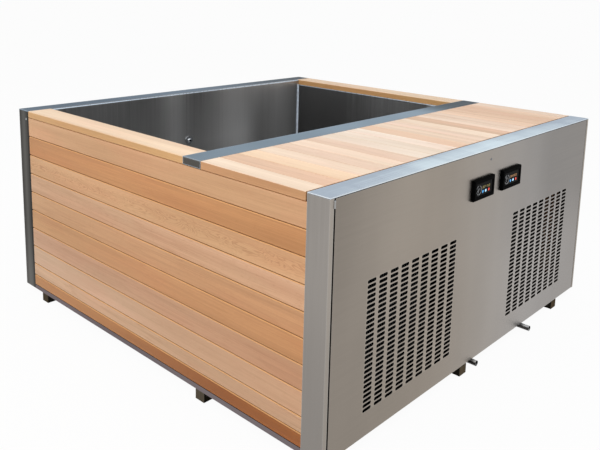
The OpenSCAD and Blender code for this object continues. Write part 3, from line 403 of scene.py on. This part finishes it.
def cedar(name, across, start, pitch, tones, figure=0.3, rough=0.5, contrast=1.0, flank_shade=None,
          honey=None, figured=None, low_near_tint=None):
    """Clear cedar.

    With a flank shade, flanks are painted a deeper honey as shade, so upper faces stay paler,
    and edges take a honey tone; without one, the boards stand upright, with painted shade on their
    lower bevels, a dark line at each seam, and painted highlights on their upper bevels. The
    figured board shows looped grain. low_near_tint is a tint that grows toward the -Y end and
    downward, with the heights where it is full and where it is none, and the Y at which it is
    full."""
    g = Graph.material(name)
    place = g.place()
    axes = g.axes(place)
    count = g.math("DIVIDE", g.math("SUBTRACT", axes["XYZ".index(across)], start), pitch)
    board = g.math("FLOOR", count)
    tone = board_tone(g, board, tones)
    # Every board is cut from another place in the log
    throw = g.add("ShaderNodeTexWhiteNoise", {"W": board}, noise_dimensions="1D").outputs["Color"]
    offset = g.scaled(throw, LOG_STEP)
    chance = g.axes(throw)[1]
    fibre = g.noise(g.scaled(place, (330, 2.6, 330), offset), 1.0, 3.0, 0.55)
    bands = g.noise(g.scaled(place, (22, 0.5, 22), offset), 1.0, 2.0, 0.5)
    drift = g.noise(g.scaled(place, (3, 1.1, 3), offset), 1.0, 2.0, 0.5)
    blush = g.noise(g.scaled(place, (9, 1.6, 9), offset), 1.0, 2.0, 0.5)
    # Growth rings as thin darker lines, strong on a few boards only
    ring = g.math("FRACT", g.math("MULTIPLY_ADD", bands, 9.0, g.math("MULTIPLY", drift, 6.0)))
    late = g.math("MULTIPLY", g.span(ring, 0.6, 0.95, smooth=True), g.span(ring, 1.0, 0.95))
    strength = g.math("MULTIPLY", g.span(chance, 0.35, 0.95, 0.25, 1.0), figure)
    dark = g.mix(1.0, tone, LATE_WOOD, "MULTIPLY")
    colour = g.mix(g.math("MULTIPLY", late, strength), tone, dark)
    # Curled flecks
    curl = g.noise(g.scaled(place, (85, 26, 85), offset), 1.0, 3.0, 0.6, 1.2)
    fleck = g.math("MULTIPLY", g.span(curl, 0.58, 0.7), g.span(chance, 0.45, 0.75))
    colour = g.mix(g.math("MULTIPLY", fleck, figure), colour, dark)
    if figured is not None:
        swirl = g.noise(g.scaled(place, (30, 5.5, 30), offset), 1.0, 2.0, 0.5, 0.6)
        loop = g.math("FRACT", g.math("MULTIPLY", swirl, 15.0))
        loop = g.math("MULTIPLY", g.span(loop, 0.45, 0.9, smooth=True), g.span(loop, 1.0, 0.92))
        inner = g.math("FRACT", count)
        heart = g.math("MULTIPLY", g.span(inner, 0.1, 0.4), g.span(inner, 0.92, 0.6))
        here = g.math("MAXIMUM", g.math("COMPARE", board, float(figured), 0.1), 0.2)
        loop = g.math("MULTIPLY", g.math("MULTIPLY", loop, heart), g.math("MULTIPLY", here, 0.62))
        colour = g.mix(loop, colour, dark)
    # Slow drift along and across the board
    for field, down, up in ((bands, 0.09, 0.06), (drift, 0.07, 0.06), (fibre, 0.07, 0.05)):
        low = 1 - down * contrast
        high = 1 + up * contrast
        deeper = (low, low * 0.97, low * 0.93, 1)
        shift = g.mix(g.span(field, 0.32, 0.68), deeper, (high, high, high, 1))
        colour = g.mix(1.0, colour, shift, "MULTIPLY")
    colour = g.mix(g.span(blush, 0.45, 0.65), colour, g.mix(1.0, colour, BLUSH, "MULTIPLY"))
    # A tint that grows toward the lower -Y end of the boards
    if low_near_tint:
        tint, full, none, end = low_near_tint
        ends = g.span(axes[1], LOW_TINT_FROM_Y, end)
        share = g.math("MULTIPLY", ends, g.span(axes[2], none, full))
        colour = g.mix(share, colour, g.mix(1.0, colour, tint, "MULTIPLY"))
    # Pin knots, drawn out along the board
    drawn = g.scaled(place, (36, 5, 36), offset)
    cell = g.add("ShaderNodeTexVoronoi", {"Vector": drawn, "Scale": 0.5, "Randomness": 1.0})
    knot = g.math("MULTIPLY", g.span(cell.outputs["Distance"], 0.1, 0.04),
                  g.span(g.axes(cell.outputs["Color"])[0], 0.84, 0.86))
    colour = g.mix(g.math("MULTIPLY", knot, 0.45), colour, g.mix(1.0, tone, KNOT, "MULTIPLY"))
    up = g.facing()[2]
    # Painted shade: faces that look less upward turn to the deeper flank tint
    if flank_shade:
        colour = g.mix(g.span(up, 0.8, 0.35), colour, g.mix(1.0, colour, flank_shade, "MULTIPLY"))
        colour = g.mix(g.math("MULTIPLY", g.edge(0.002), 0.4), colour, honey)
    else:
        # Painted highlight on upward bevels, painted shade on downward bevels, a dark line at each
        # seam
        bevel = g.span(up, 0.25, 0.55)
        colour = g.mix(g.math("MULTIPLY", bevel, 0.75), colour, honey)
        lip = g.span(g.math("FRACT", count), 1 - SEAM / pitch, 1 - 0.8 * SEAM / pitch)
        below = g.span(up, -0.25, -0.55, 0.0, 0.7)
        seam = g.math("MAXIMUM", below, g.math("MULTIPLY", bevel, lip))
        colour = g.mix(seam, colour, g.mix(1.0, tone, GROOVE, "MULTIPLY"))
    height = g.math("MULTIPLY_ADD", late, -0.5, fibre)
    return g.finish(Base_Color=colour, Roughness=g.math("MULTIPLY_ADD", fibre, 0.2, rough - 0.1),
                    Specular_IOR_Level=0.4, Normal=g.bump(height, 0.2, 0.0005))


# The tub's finishes; the steel tones are partly painted reflection of the light each part mirrors

WARM = srgb(150, 142, 133)
COOL = srgb(158, 157, 157)
POST = srgb(147, 142, 137)
# Painted light: the front posts' forward faces take this lighter tone
POST_FRONT = srgb(160, 153, 145)
RAIL = srgb(213, 225, 238)
SLATE = srgb(162, 177, 189)
# Painted shade: the cross bar's end faces take this darker tone
BAR_END = srgb(97, 94, 89)
# Painted shade: the cross bar and rear rail darken to this toward +X
CHARCOAL = srgb(92, 94, 95)
# Painted shade tone for the panel's slot walls and the rings around them
CUT_SHADE = srgb(18, 17, 16)
REAR = srgb(138, 151, 164)
REAR_POST = srgb(104, 103, 101)
BASE = srgb(124, 115, 117)
HINGE = srgb(152, 151, 149)
BLACK = srgb(16, 16, 17)
BASIN = srgb(183, 183, 183)
FOOT = srgb(72, 66, 58)
# Painted highlight tone for bright edges and rounded lips
EDGE_WHITE = srgb(244, 249, 253)

ROSE = srgb(211, 167, 127)
HONEY = srgb(198, 143, 94)
AMBER = srgb(203, 156, 111)
LIGHT_TAN = srgb(212, 168, 126)
PINK_TAN = srgb(211, 171, 138)
TAN = srgb(206, 162, 122)
DUSK = srgb(205, 167, 137)
PALE = srgb(214, 181, 153)
STRIP = srgb(207, 170, 138)
BROWN = srgb(199, 147, 95)
# Painted highlight tone of the boards' upper bevels
RIM_HONEY = srgb(240, 184, 122)
CAP_TONE = srgb(244, 217, 187)
CAP_EDGE = srgb(250, 226, 190)
FOOT_LOW_TINT = (0.56, 0.345, 0.115, 1.0)
SIDE_LOW_TINT = (0.91, 0.80, 0.71, 1.0)

D_CREAM = srgb(247, 225, 203)
D_PALE = srgb(247, 231, 215)
D_TAN = srgb(237, 204, 176)
D_YELLOW = srgb(247, 217, 185)
D_PINK = srgb(242, 217, 196)
D_DARK = srgb(229, 194, 165)
D_EDGE = srgb(230, 186, 144)

SIDE_TONES = (PALE, DUSK, AMBER, TAN, PINK_TAN, LIGHT_TAN, HONEY, ROSE)
DECK_TONES = (D_CREAM, D_TAN, D_YELLOW, D_CREAM, D_PINK, D_CREAM, D_PINK, D_PALE,
              D_PALE, D_PALE, D_TAN, D_CREAM, D_PINK, D_CREAM, D_DARK, D_PINK,
              D_PINK, D_TAN, D_DARK, D_DARK, D_TAN, D_PINK)

# Where the first side board and the first lower board start, and the width of each, in metres
BOARD_Z, BOARD_STEP = 0.174, 0.092
LOWER_Z, LOWER_STEP = 0.054, 0.06
SLAT_STEP = 2 * HALF_WIDTH / len(DECK_TONES)

# Painted reflection bands of the basin's rear wall: middle in X, narrowness, height
REAR_PAINTED_BANDS = ((0.33, -24.0, 0.565), (-0.145, -150.0, 0.31), (0.725, -36.0, 0.42))
REAR_WELD_X = -0.06


def hump(g, value, middle, narrow):
    """1 at the middle, falling off to both sides; a more negative narrow falls faster."""
    off = g.math("SUBTRACT", value, middle)
    return g.math("EXPONENT", g.math("MULTIPLY", g.math("MULTIPLY", off, off), narrow))


def between(g, share, none, full):
    """A weighted mean of two levels."""
    rest = g.math("MULTIPLY", none, g.math("SUBTRACT", 1.0, share))
    return g.math("ADD", rest, g.math("MULTIPLY", full, share))


def basin_painted_light(g, place, amount):
    """Painted reflection and shade on the basin: broad upright light bands on the rear wall,
    darker side walls.
    """
    x, y, z = g.axes(place)
    side = g.math("ABSOLUTE", g.facing()[0])
    rear = g.span(x, -0.5, -0.25, 0.12, 0.175)
    for middle, narrow, height in REAR_PAINTED_BANDS:
        rear = g.math("MULTIPLY_ADD", hump(g, x, middle, narrow), height, rear)
    fall = g.math("MULTIPLY", g.span(x, -0.2, 0.2, 0.8, 1.6), g.span(x, 0.5, 0.4))
    rear = g.math("MULTIPLY_ADD", g.span(z, 0.65, 0.92, 0.12, -0.13), fall, rear)
    from_weld = g.math("ABSOLUTE", g.math("SUBTRACT", x, REAR_WELD_X))
    rear = g.math("SUBTRACT", rear, g.span(from_weld, 0.006, 0.002, 0.0, 0.06))
    # Painted shade on the side walls, lighter toward the front
    near = g.math("ADD", g.span(y, 0.6, 0.1, -0.15, 0.14), g.span(y, -0.1, -0.16, 0.0, 0.7))
    broad = between(g, side, rear, near)
    return g.math("ADD", g.math("MULTIPLY", amount, 0.16), broad, clamp=True)


# The panel's grilles, in metres: middles, half sizes and a margin; then the slots' spacing,
# straight half and radius, the width of the painted shade ring around each, and the part of the
# panel they lie in

GRILLE_X, GRILLE_Z = 0.515, 0.376
GRILLE_HALF_X, GRILLE_HALF_Z = 0.279, 0.24
GRILLE_MARGIN = 0.006
SLOT_STEP_X, SLOT_STEP_Z = 0.064, 0.018
SLOT_STRAIGHT, SLOT_R, SHADE_RING_W = 0.017, 0.006, 0.0007
SLOTS_WITHIN_X = (0.86, 0.85)
SLOTS_ABOVE_Z, SLOTS_BELOW_Z = (0.09, 0.1), (0.69, 0.68)


def from_grille(g, place):
    """How far a point lies from the middle of the nearer grille, across and upward."""
    x, _, z = g.axes(place)
    return g.math("SUBTRACT", g.math("ABSOLUTE", x), GRILLE_X), g.math("SUBTRACT", z, GRILLE_Z)


def in_grille(g, across, upward):
    """1 inside a grille, fading out over its margin."""
    wide = g.span(g.math("ABSOLUTE", across), GRILLE_HALF_X + GRILLE_MARGIN, GRILLE_HALF_X)
    tall = g.span(g.math("ABSOLUTE", upward), GRILLE_HALF_Z + GRILLE_MARGIN, GRILLE_HALF_Z)
    return g.math("MULTIPLY", wide, tall)


def to_nearest(g, value, step):
    """Distance to the nearest of evenly spaced lines, one of them at 0."""
    turn = g.math("FRACT", g.math("MULTIPLY_ADD", value, 1.0 / step, 0.5))
    return g.math("MULTIPLY", g.math("ABSOLUTE", g.math("SUBTRACT", turn, 0.5)), step)


def panel_painted_light(g, place, amount):
    """Painted light and shade on the panel: lightest between the grilles and their slots, darker
    at its edges.
    """
    x, _, z = g.axes(place)
    far_low = g.span(x, 0.2, 0.8, 0.0, -0.3)
    low = g.math("ADD", g.span(x, -0.9, 0.1, 0.18, 0.88), far_low)
    far_high = g.span(x, 0.0, 0.75, 0.0, -0.78, smooth=True)
    high = g.math("ADD", g.span(x, -0.95, -0.6, 0.12, 0.72), far_high)
    level = between(g, g.span(z, 0.3, 0.75, smooth=True), low, high)
    sway = g.noise(g.scaled(place, (4.2, 0.3, 0.7), (1.3, 0.0, 0.4)), 1.0, 2.0, 0.5)
    level = g.math("ADD", level, g.span(sway, 0.3, 0.7, -0.1, 0.1))
    # Painted highlight over the grilles
    level = g.math("MULTIPLY_ADD", in_grille(g, *from_grille(g, place)), 0.32, level)
    return g.math("ADD", level, g.span(amount, 0.0, 1.0, -0.17, 0.17), clamp=True)


def slot_shade(g, place, look):
    """1 on the slots' walls and on a thin ring around each slot, where shade is painted."""
    x, _, z = g.axes(place)
    across, upward = from_grille(g, place)
    above = to_nearest(g, upward, SLOT_STEP_Z)
    aside = g.math("SUBTRACT", to_nearest(g, across, SLOT_STEP_X), SLOT_STRAIGHT)
    past = g.math("MAXIMUM", aside, 0.0)
    reach = g.math("SQRT", g.math("MULTIPLY_ADD", past, past, g.math("MULTIPLY", above, above)))
    shade_ring = g.span(reach, SLOT_R + 1.2 * SHADE_RING_W, SLOT_R + 0.8 * SHADE_RING_W)
    shade_ring = g.math("MULTIPLY", shade_ring, in_grille(g, across, upward))
    # Painted shade on the slot walls, which look away from the front
    painted_by_facing = g.span(g.math("ABSOLUTE", look[1]), 0.8, 0.5)
    within = g.span(g.math("ABSOLUTE", x), *SLOTS_WITHIN_X)
    within = g.math("MULTIPLY", within, g.span(z, *SLOTS_BELOW_Z))
    within = g.math("MULTIPLY", within, g.span(z, *SLOTS_ABOVE_Z))
    return g.math("MAXIMUM", g.math("MULTIPLY", painted_by_facing, within), shade_ring)


def rear_post_painted_light(g, place, amount):
    """Painted light and shade on a rear post: darker at its upper end, with a light stripe and a
    dark edge by the boards.
    """
    _, y, z = g.axes(place)
    level = g.math("MULTIPLY", amount, g.span(z, TOP, 0.1, 0.3, 0.8))
    level = g.math("MULTIPLY_ADD", hump(g, y, 0.975, -3000.0), 0.4, level)
    return g.math("SUBTRACT", level, g.span(y, 0.945, 0.93, 0.0, 0.5), clamp=True)


def front_post_painted_shade(g, place, amount):
    """Painted shade on a front post: darker at its lower end."""
    z = g.axes(place)[2]
    return g.math("MULTIPLY", amount, g.span(z, 0.1, 0.8, 0.3, 1.0), clamp=True)


def foot_shade(g, place, amount):
    """Painted light and shade: feet are light on the faces that look outward and dark on those
    under the body.
    """
    x = g.math("ABSOLUTE", g.axes(place)[0])
    look = g.facing()
    at_side = g.span(x, 0.9, 0.92)
    outward = g.math("MULTIPLY", g.math("ABSOLUTE", look[0]), at_side)
    forward = g.math("MULTIPLY", g.math("ABSOLUTE", look[1]), g.math("SUBTRACT", 1.0, at_side))
    uneven = g.span(amount, 0.0, 1.0, 0.5, 1.0)
    return g.math("MULTIPLY", g.math("MAXIMUM", outward, forward), uneven, clamp=True)


def rail_painted_light(g, place, amount):
    """Painted light on a top rail: it deepens toward its inner edge as painted shade and carries
    cloudy painted highlights.
    """
    x, y, _ = g.axes(place)
    inner = g.span(y, -0.95, -0.885, 0.0, 0.45, smooth=True)
    swell = hump(g, x, 0.0, -2.4)
    level = g.math("MULTIPLY_ADD", swell, 0.75, g.span(amount, 0.0, 1.0, -0.3, 0.5))
    return g.math("SUBTRACT", level, inner, clamp=True)


def bar_painted_light(g, place, amount):
    """Painted reflection on a cross bar: lightest past its middle and dark at its far end."""
    x = g.axes(place)[0]
    far_end = g.span(x, 0.4, 0.8, 0.0, -0.75, smooth=True)
    level = g.math("ADD", g.span(x, -0.6, 0.1, 0.32, 0.6, smooth=True), far_end)
    return g.math("ADD", level, g.span(amount, 0.0, 1.0, -0.12, 0.2), clamp=True)


def dress_steel():
    """The frame, panel and basin: brushed sheet, its tone taken from the light it mirrors, as
    painted reflection.
    """
    wear("door_panel")(
        steel("panel_steel", WARM, "X", spread=0.22, rough=0.36,
              edge_highlight=srgb(190, 186, 180), edge_highlight_share=0.6, painted_bands=panel_painted_light, seed=1,
              drift=(COOL, -0.5, 0.6), shade_cut=(CUT_SHADE, slot_shade)))
    wear("front_posts")(
        steel("post_steel", POST, "Z", spread=0.12, edge_highlight=srgb(205, 205, 203),
              edge_highlight_share=0.7, painted_bands=front_post_painted_shade, seed=2, painted_by_facing=(("Y", -1, POST_FRONT),)))
    wear("front_rail")(
        steel("rail_steel", RAIL, "X", spread=0.28, rough=0.3, edge_highlight=EDGE_WHITE,
              edge_highlight_share=0.95, edge_width=0.004, painted_bands=rail_painted_light, seed=3, lip=True,
              clouds=(5, 1, 1)))
    wear("cross_bar")(
        steel("bar_steel", SLATE, "X", spread=0.5, rough=0.32, edge_highlight=srgb(206, 217, 228),
              edge_highlight_share=0.9, edge_width=0.006, painted_bands=bar_painted_light, seed=4, graze=0.6,
              painted_by_facing=(("X", -1, BAR_END), ("X", 1, BAR_END)), clouds=(2, 1, 1),
              drift=(CHARCOAL, 0.5, 0.85)))
    wear("rear_rail")(
        steel("rear_rail_steel", REAR, "X", spread=0.3, rough=0.3,
              edge_highlight=srgb(206, 218, 230), edge_highlight_share=0.8, seed=5, graze=0.5, lip=True,
              drift=(CHARCOAL, -0.1, 1.0)))
    wear("rear_posts")(
        steel("rear_post_steel", REAR_POST, "Z", spread=0.5, edge_highlight=srgb(150, 155, 160),
              edge_highlight_share=0.3, painted_bands=rear_post_painted_light, seed=6, graze=0.4))
    wear("rear_panel")(
        steel("back_steel", WARM, "X", spread=0.12, rough=0.36,
              edge_highlight=srgb(185, 182, 178), seed=7))
    wear("base_side_rails", "base_beams", "side_uprights")(
        steel("base_steel", BASE, "Y", rough=0.4, edge_highlight=srgb(160, 156, 158),
              edge_highlight_share=0.3, seed=8, graze=0.5))
    wear("feet")(
        steel("foot_steel", FOOT, "Z", spread=0.86, rough=0.42, edge_highlight=srgb(120, 114, 106),
              edge_highlight_share=0.4, painted_bands=foot_shade, seed=9, graze=0.4))
    wear("tub_floor")(
        steel("floor_steel", BASIN, "X", spread=0.14, rough=0.36,
              edge_highlight=srgb(190, 200, 210), seed=10))
    wear("tub_walls")(
        steel("wall_steel", BASIN, "Z", spread=0.66, edge_highlight=srgb(206, 222, 238),
              edge_highlight_share=0.9, edge_width=0.002, painted_bands=basin_painted_light, seed=11, graze=0.6,
              lip=True, satin=0.34))
    wear("hinge_fixed", "hinge_moving")(
        steel("hinge_steel", HINGE, "Z", edge_highlight=EDGE_WHITE, edge_highlight_share=0.2,
              edge_width=0.001, seed=13))


def dress_cedar():
    """Side boards, the two lower boards of each side, the caps beside the tub and the deck."""
    wear("cladding_left", "cladding_right")(
        cedar("cedar_boards", "Z", BOARD_Z, BOARD_STEP, SIDE_TONES,
              honey=RIM_HONEY, figured=5, low_near_tint=(SIDE_LOW_TINT, 0.5, 0.62, -0.85)))
    wear("lower_boards")(
        cedar("cedar_foot", "Z", LOWER_Z, LOWER_STEP, (BROWN, STRIP), figure=0.45, rough=0.52,
              contrast=1.4, honey=RIM_HONEY, low_near_tint=(FOOT_LOW_TINT, 0.111, 0.117, -0.5)))
    wear("caps")(
        cedar("cedar_caps", "X", -HALF_WIDTH, HALF_WIDTH, (CAP_TONE, shade(CAP_TONE, 0.96)),
              rough=0.46, flank_shade=CAP_FLANK_SHADE, honey=CAP_EDGE))
    wear("deck_slats", "deck_battens")(
        cedar("cedar_deck", "X", -HALF_WIDTH, SLAT_STEP, DECK_TONES, rough=0.46,
              contrast=0.9, flank_shade=DECK_FLANK_SHADE, honey=D_EDGE))


def dress_fittings():
    """Fittings of the tub, the panel's small parts and the machines in the bay."""
    wear("jet_body", "jet_nozzle", "suction_cover", "overflow_cover", "floor_drain",
         "heat_exchangers")(polished("fitting_chrome", srgb(190, 194, 198)))
    # Painted highlight: the stubs are near white on top, with painted shade below and at the root
    wear("drain_pipe", "overflow_pipe")(
        polished("pipe_chrome", srgb(240, 243, 246), painted_shade=srgb(46, 43, 40), satin=0.5))
    wear("refrigerant_lines")(polished("copper_tube", srgb(206, 140, 104), rough=0.26))
    wear("bulkhead")(plated("bulkhead_sheet", srgb(120, 122, 124), rough=0.5))
    wear("bay_floor")(plated("bay_sheet", srgb(84, 86, 88), rough=0.5))
    # Painted highlight: the tub's rounded corners take a pale bluish tone
    wear("tub_corners")(plated("corner_highlight", srgb(206, 216, 228), rough=0.5, metallic=0.2))
    wear("fan_shrouds")(plated("shroud_enamel", BLACK, rough=0.5, metallic=0.0, ior=1.15))
    wear("condenser_coils")(
        plated("fin_black", BLACK, rough=0.6, grain=200.0, metallic=0.0, ior=1.12,
               tip=srgb(66, 68, 70)))
    wear("fan_motors", "compressors", "pump")(
        plated("black_enamel", srgb(30, 30, 32), rough=0.36, grain=90.0, metallic=0.0))
    wear("deck_bearers", "deck_screws", "rear_screws", "door_stiffeners", "door_strikers",
         "hinge_pins", "drain_valve", "fan_rotor_left", "fan_rotor_right")(
        plated("zinc_plate", srgb(176, 180, 184)))
    wear("panel_lock")(plated("lock_zinc", srgb(122, 126, 132), rough=0.4))
    # Painted highlight: the black mouldings' edges turn far paler
    wear("controller_frames", "controller_backs", "cable_gland", "filter_cap", "door_magnets")(
        moulded("black_moulding", srgb(5, 5, 5), rough=0.5, rubbed_and_highlight=14.0, ior=1.05))
    wear("controller_screens")(glass_cover("display_cover", srgb(24, 24, 24)))
    wear("compressor_pads")(moulded("pad_rubber", srgb(36, 36, 36), rough=0.75, grain=500.0))
    wear("filter_housing", "water_pipes", "electrical_box")(
        moulded("white_moulding", srgb(226, 226, 221), rough=0.4))
    wear("drain_lever")(
        moulded("red_grip", srgb(178, 32, 26), rough=0.4, grain=400.0, rubbed_and_highlight=1.4))
    wear("insulation")(foam("foam_board", srgb(224, 220, 204)))


# Lit marks on the two displays, standing a hair proud of the gloss cover

SCREEN_Y = -0.993
SCREEN_Z = 0.790
# Middle of each display, the figures it shows, the paint they take and the needle's angle
SCREENS = {"left": (-0.064, "307158", 1, 200), "right": (0.170, "284960", 4, 120)}
MARK_T = 0.0006
BEVEL = 0.0003
GAUGE_X, GAUGE_Z, GAUGE_R = -0.043, -0.001, 0.0185
RING_W, INNER_W, NEEDLE_W, STROKE_W = 0.0017, 0.0012, 0.0018, 0.0012
DIGIT_W = 0.0068
DIGIT_H = 0.0085
DIGIT_X, DIGIT_Z = -0.017, 0.006
DIGIT_STEP = 0.0105
DOT_R = 0.006
DOT_SIDES = 24
# Share of a lamp's radius and of its height, from the rim to the crown
DOME = ((1.0, 0.0), (0.9, 0.5), (0.6, 0.9), (0.25, 1.0))
DOTS = ((-0.011, 2), (0.012, 5), (0.037, 3))
DOT_Z = -0.0115
# Ends of the seven strokes of a figure, in half widths and half heights
STROKES = (((-1, 1), (1, 1)), ((1, 1), (1, 0)), ((1, 0), (1, -1)), ((1, -1), (-1, -1)),
           ((-1, -1), (-1, 0)), ((-1, 0), (-1, 1)), ((-1, 0), (1, 0)))
# The strokes of each figure
FIGURES = {"0": (0, 1, 2, 3, 4, 5), "1": (1, 2), "2": (0, 1, 6, 4, 3), "3": (0, 1, 6, 2, 3),
           "4": (5, 6, 1, 2), "5": (0, 5, 6, 2, 3), "6": (0, 5, 4, 3, 2, 6), "7": (0, 1, 2),
           "8": (0, 1, 2, 3, 4, 5, 6), "9": (0, 5, 6, 1, 2, 3)}
# Name, tone and strength of the lit paints, in the order of their numbers
PAINTS = (("mark_white", srgb(150, 152, 154), 0.4), ("mark_gold", srgb(150, 138, 84), 0.5),
          ("mark_blue", srgb(70, 158, 222), 0.7), ("mark_red", srgb(216, 58, 44), 0.7),
          ("mark_amber", srgb(176, 130, 88), 0.5), ("mark_ice", srgb(176, 222, 250), 0.8))


def sweep_mark(bm, points, width, paint):
    """A bevelled ribbon along points on the display, given as (x, z)."""
    half = width / 2
    profile = ((-half, 0.0), (-half + BEVEL, MARK_T), (half - BEVEL, MARK_T), (half, 0.0))
    last = len(points) - 1
    rings = []
    for i, (x, z) in enumerate(points):
        before, after = points[max(i - 1, 0)], points[min(i + 1, last)]
        way = Vector((after[0] - before[0], after[1] - before[1])).normalized()
        rings.append([bm.verts.new((x - way.y * aside, SCREEN_Y - lift, z + way.x * aside))
                      for aside, lift in profile])
    sides = len(profile)
    for here, after in zip(rings, rings[1:]):
        for j in range(sides):
            k = (j + 1) % sides
            bm.faces.new((here[j], after[j], after[k], here[k])).material_index = paint
    bm.faces.new(rings[0]).material_index = paint
    bm.faces.new(rings[-1][::-1]).material_index = paint


def arc(x, z, r, start, end, steps):
    turn = [math.radians(start + (end - start) * i / steps) for i in range(steps + 1)]
    return [(x + r * math.cos(a), z + r * math.sin(a)) for a in turn]


def gauge_mark(bm, x, z, r, needle):
    """A dial: an open ring with a second short arc and a needle."""
    sweep_mark(bm, arc(x, z, r, -250, 70, 40), RING_W, 0)
    sweep_mark(bm, arc(x, z - 0.1 * r, r * 0.45, 20, 250, 20), INNER_W, 0)
    a = math.radians(needle)
    tip = (x + 0.75 * r * math.cos(a), z + 0.75 * r * math.sin(a))
    sweep_mark(bm, [(x, z), tip], NEEDLE_W, 0)


def figure_mark(bm, figure, x, z, paint):
    for stroke in FIGURES[figure]:
        ends = [(x + DIGIT_W / 2 * u, z + DIGIT_H / 2 * v) for u, v in STROKES[stroke]]
        sweep_mark(bm, ends, STROKE_W, paint)


def dot_mark(bm, x, z, r, paint):
    """A lamp: a low round dome."""
    last = 360 - 360 / DOT_SIDES
    rows = []
    for share, lift in DOME:
        ring = arc(x, z, r * share, 0, last, DOT_SIDES - 1)
        rows.append([bm.verts.new((px, SCREEN_Y - lift * MARK_T, pz)) for px, pz in ring])
    for low, high in zip(rows, rows[1:]):
        for i in range(DOT_SIDES):
            k = (i + 1) % DOT_SIDES
            bm.faces.new((low[i], low[k], high[k], high[i])).material_index = paint
    bm.faces.new(rows[-1]).material_index = paint
    bm.faces.new(rows[0][::-1]).material_index = paint


def display_marks():
    paints = [lamp_paint(*paint) for paint in PAINTS]
    for side, (x, figures, figure_paint, needle) in SCREENS.items():
        bm = bmesh.new()
        gauge_mark(bm, x + GAUGE_X, SCREEN_Z + GAUGE_Z, GAUGE_R, needle)
        for i, figure in enumerate(figures):
            middle = x + DIGIT_X + DIGIT_W / 2 + i * DIGIT_STEP
            figure_mark(bm, figure, middle, SCREEN_Z + DIGIT_Z, figure_paint)
        for dx, paint in DOTS:
            dot_mark(bm, x + dx, SCREEN_Z + DOT_Z, DOT_R, paint)
        mesh = bpy.data.meshes.new("display_marks_" + side)
        bmesh.ops.recalc_face_normals(bm, faces=bm.faces)
        bm.to_mesh(mesh)
        bm.free()
        for paint in paints:
            mesh.materials.append(paint)
        piece = bpy.data.objects.new("display_marks_" + side, mesh)
        scene.collection.objects.link(piece)
        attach(piece, "service_panel")


# Floor, world and lamps

FLOOR_HALF = 900.0
FLOOR_GLOW = 0.955
SKY = 0.52
# The backdrop is white up to the first height of a ray and dims to the share by the second
BACKDROP = (0.45, 0.85, 1.0, 0.2)
# Name, place, aim, size in metres and watts
LAMPS = (("top_light", (-0.6, -0.4, 4.6), (0, 0, 0.5), (6.4, 6.4), 114),
         ("side_light", (-5.2, -1.2, 2.6), (-0.8, 0.2, 0.5), (4.0, 3.0), 84))


def background_rays(g):
    """1 for rays that show the background itself or its reflection."""
    path = g.add("ShaderNodeLightPath").outputs
    seen = g.math("MAXIMUM", path["Is Camera Ray"], path["Is Glossy Ray"])
    return g.math("MAXIMUM", seen, path["Is Transmission Ray"])


def make_floor():
    mesh = bpy.data.meshes.new("floor")
    half = FLOOR_HALF
    corners = [(-half, -half, 0), (half, -half, 0), (half, half, 0), (-half, half, 0)]
    mesh.from_pydata(corners, [], [(0, 1, 2, 3)])
    floor = bpy.data.objects.new("floor", mesh)
    scene.collection.objects.link(floor)
    g = Graph.material("floor_white")
    matt = g.add("ShaderNodeBsdfDiffuse", {"Color": (0.8, 0.8, 0.8, 1)})
    glow = g.add("ShaderNodeEmission", {"Color": (1, 1, 1, 1), "Strength": 1.0})
    share = g.math("MULTIPLY", background_rays(g), FLOOR_GLOW)
    both = g.add("ShaderNodeMixShader", {0: share, 1: matt.outputs[0], 2: glow.outputs[0]})
    g.show(both, "ShaderNodeOutputMaterial")
    mesh.materials.append(g.owner)


def make_world():
    """A white backdrop that ends overhead, where the top light hangs; what it lights is dimmer."""
    world = bpy.data.worlds.new("studio")
    scene.world = world
    g = Graph(world)
    upward = g.axes(g.add("ShaderNodeTexCoord").outputs["Generated"])[2]
    backdrop = g.span(upward, *BACKDROP)
    seen = g.add("ShaderNodeBackground", {"Color": (1, 1, 1, 1), "Strength": backdrop})
    light = g.add("ShaderNodeBackground", {"Color": (0.97, 0.985, 1, 1), "Strength": SKY})
    both = g.add("ShaderNodeMixShader",
                 {0: background_rays(g), 1: light.outputs[0], 2: seen.outputs[0]})
    g.show(both, "ShaderNodeOutputWorld")


def softbox(name, place, aim, size, watts):
    data = bpy.data.lights.new(name, "AREA")
    data.shape = "RECTANGLE"
    data.size, data.size_y = size
    data.energy = watts
    lamp = bpy.data.objects.new(name, data)
    scene.collection.objects.link(lamp)
    toward = Vector(aim) - Vector(place)
    turn = toward.to_track_quat("-Z", "Y").to_matrix().to_4x4()
    lamp.matrix_world = Matrix.Translation(place) @ turn


make_camera()
dress_steel()
dress_cedar()
dress_fittings()
display_marks()
make_floor()
make_world()
for lamp in LAMPS:
    softbox(*lamp)
scene.view_settings.view_transform = "Standard"
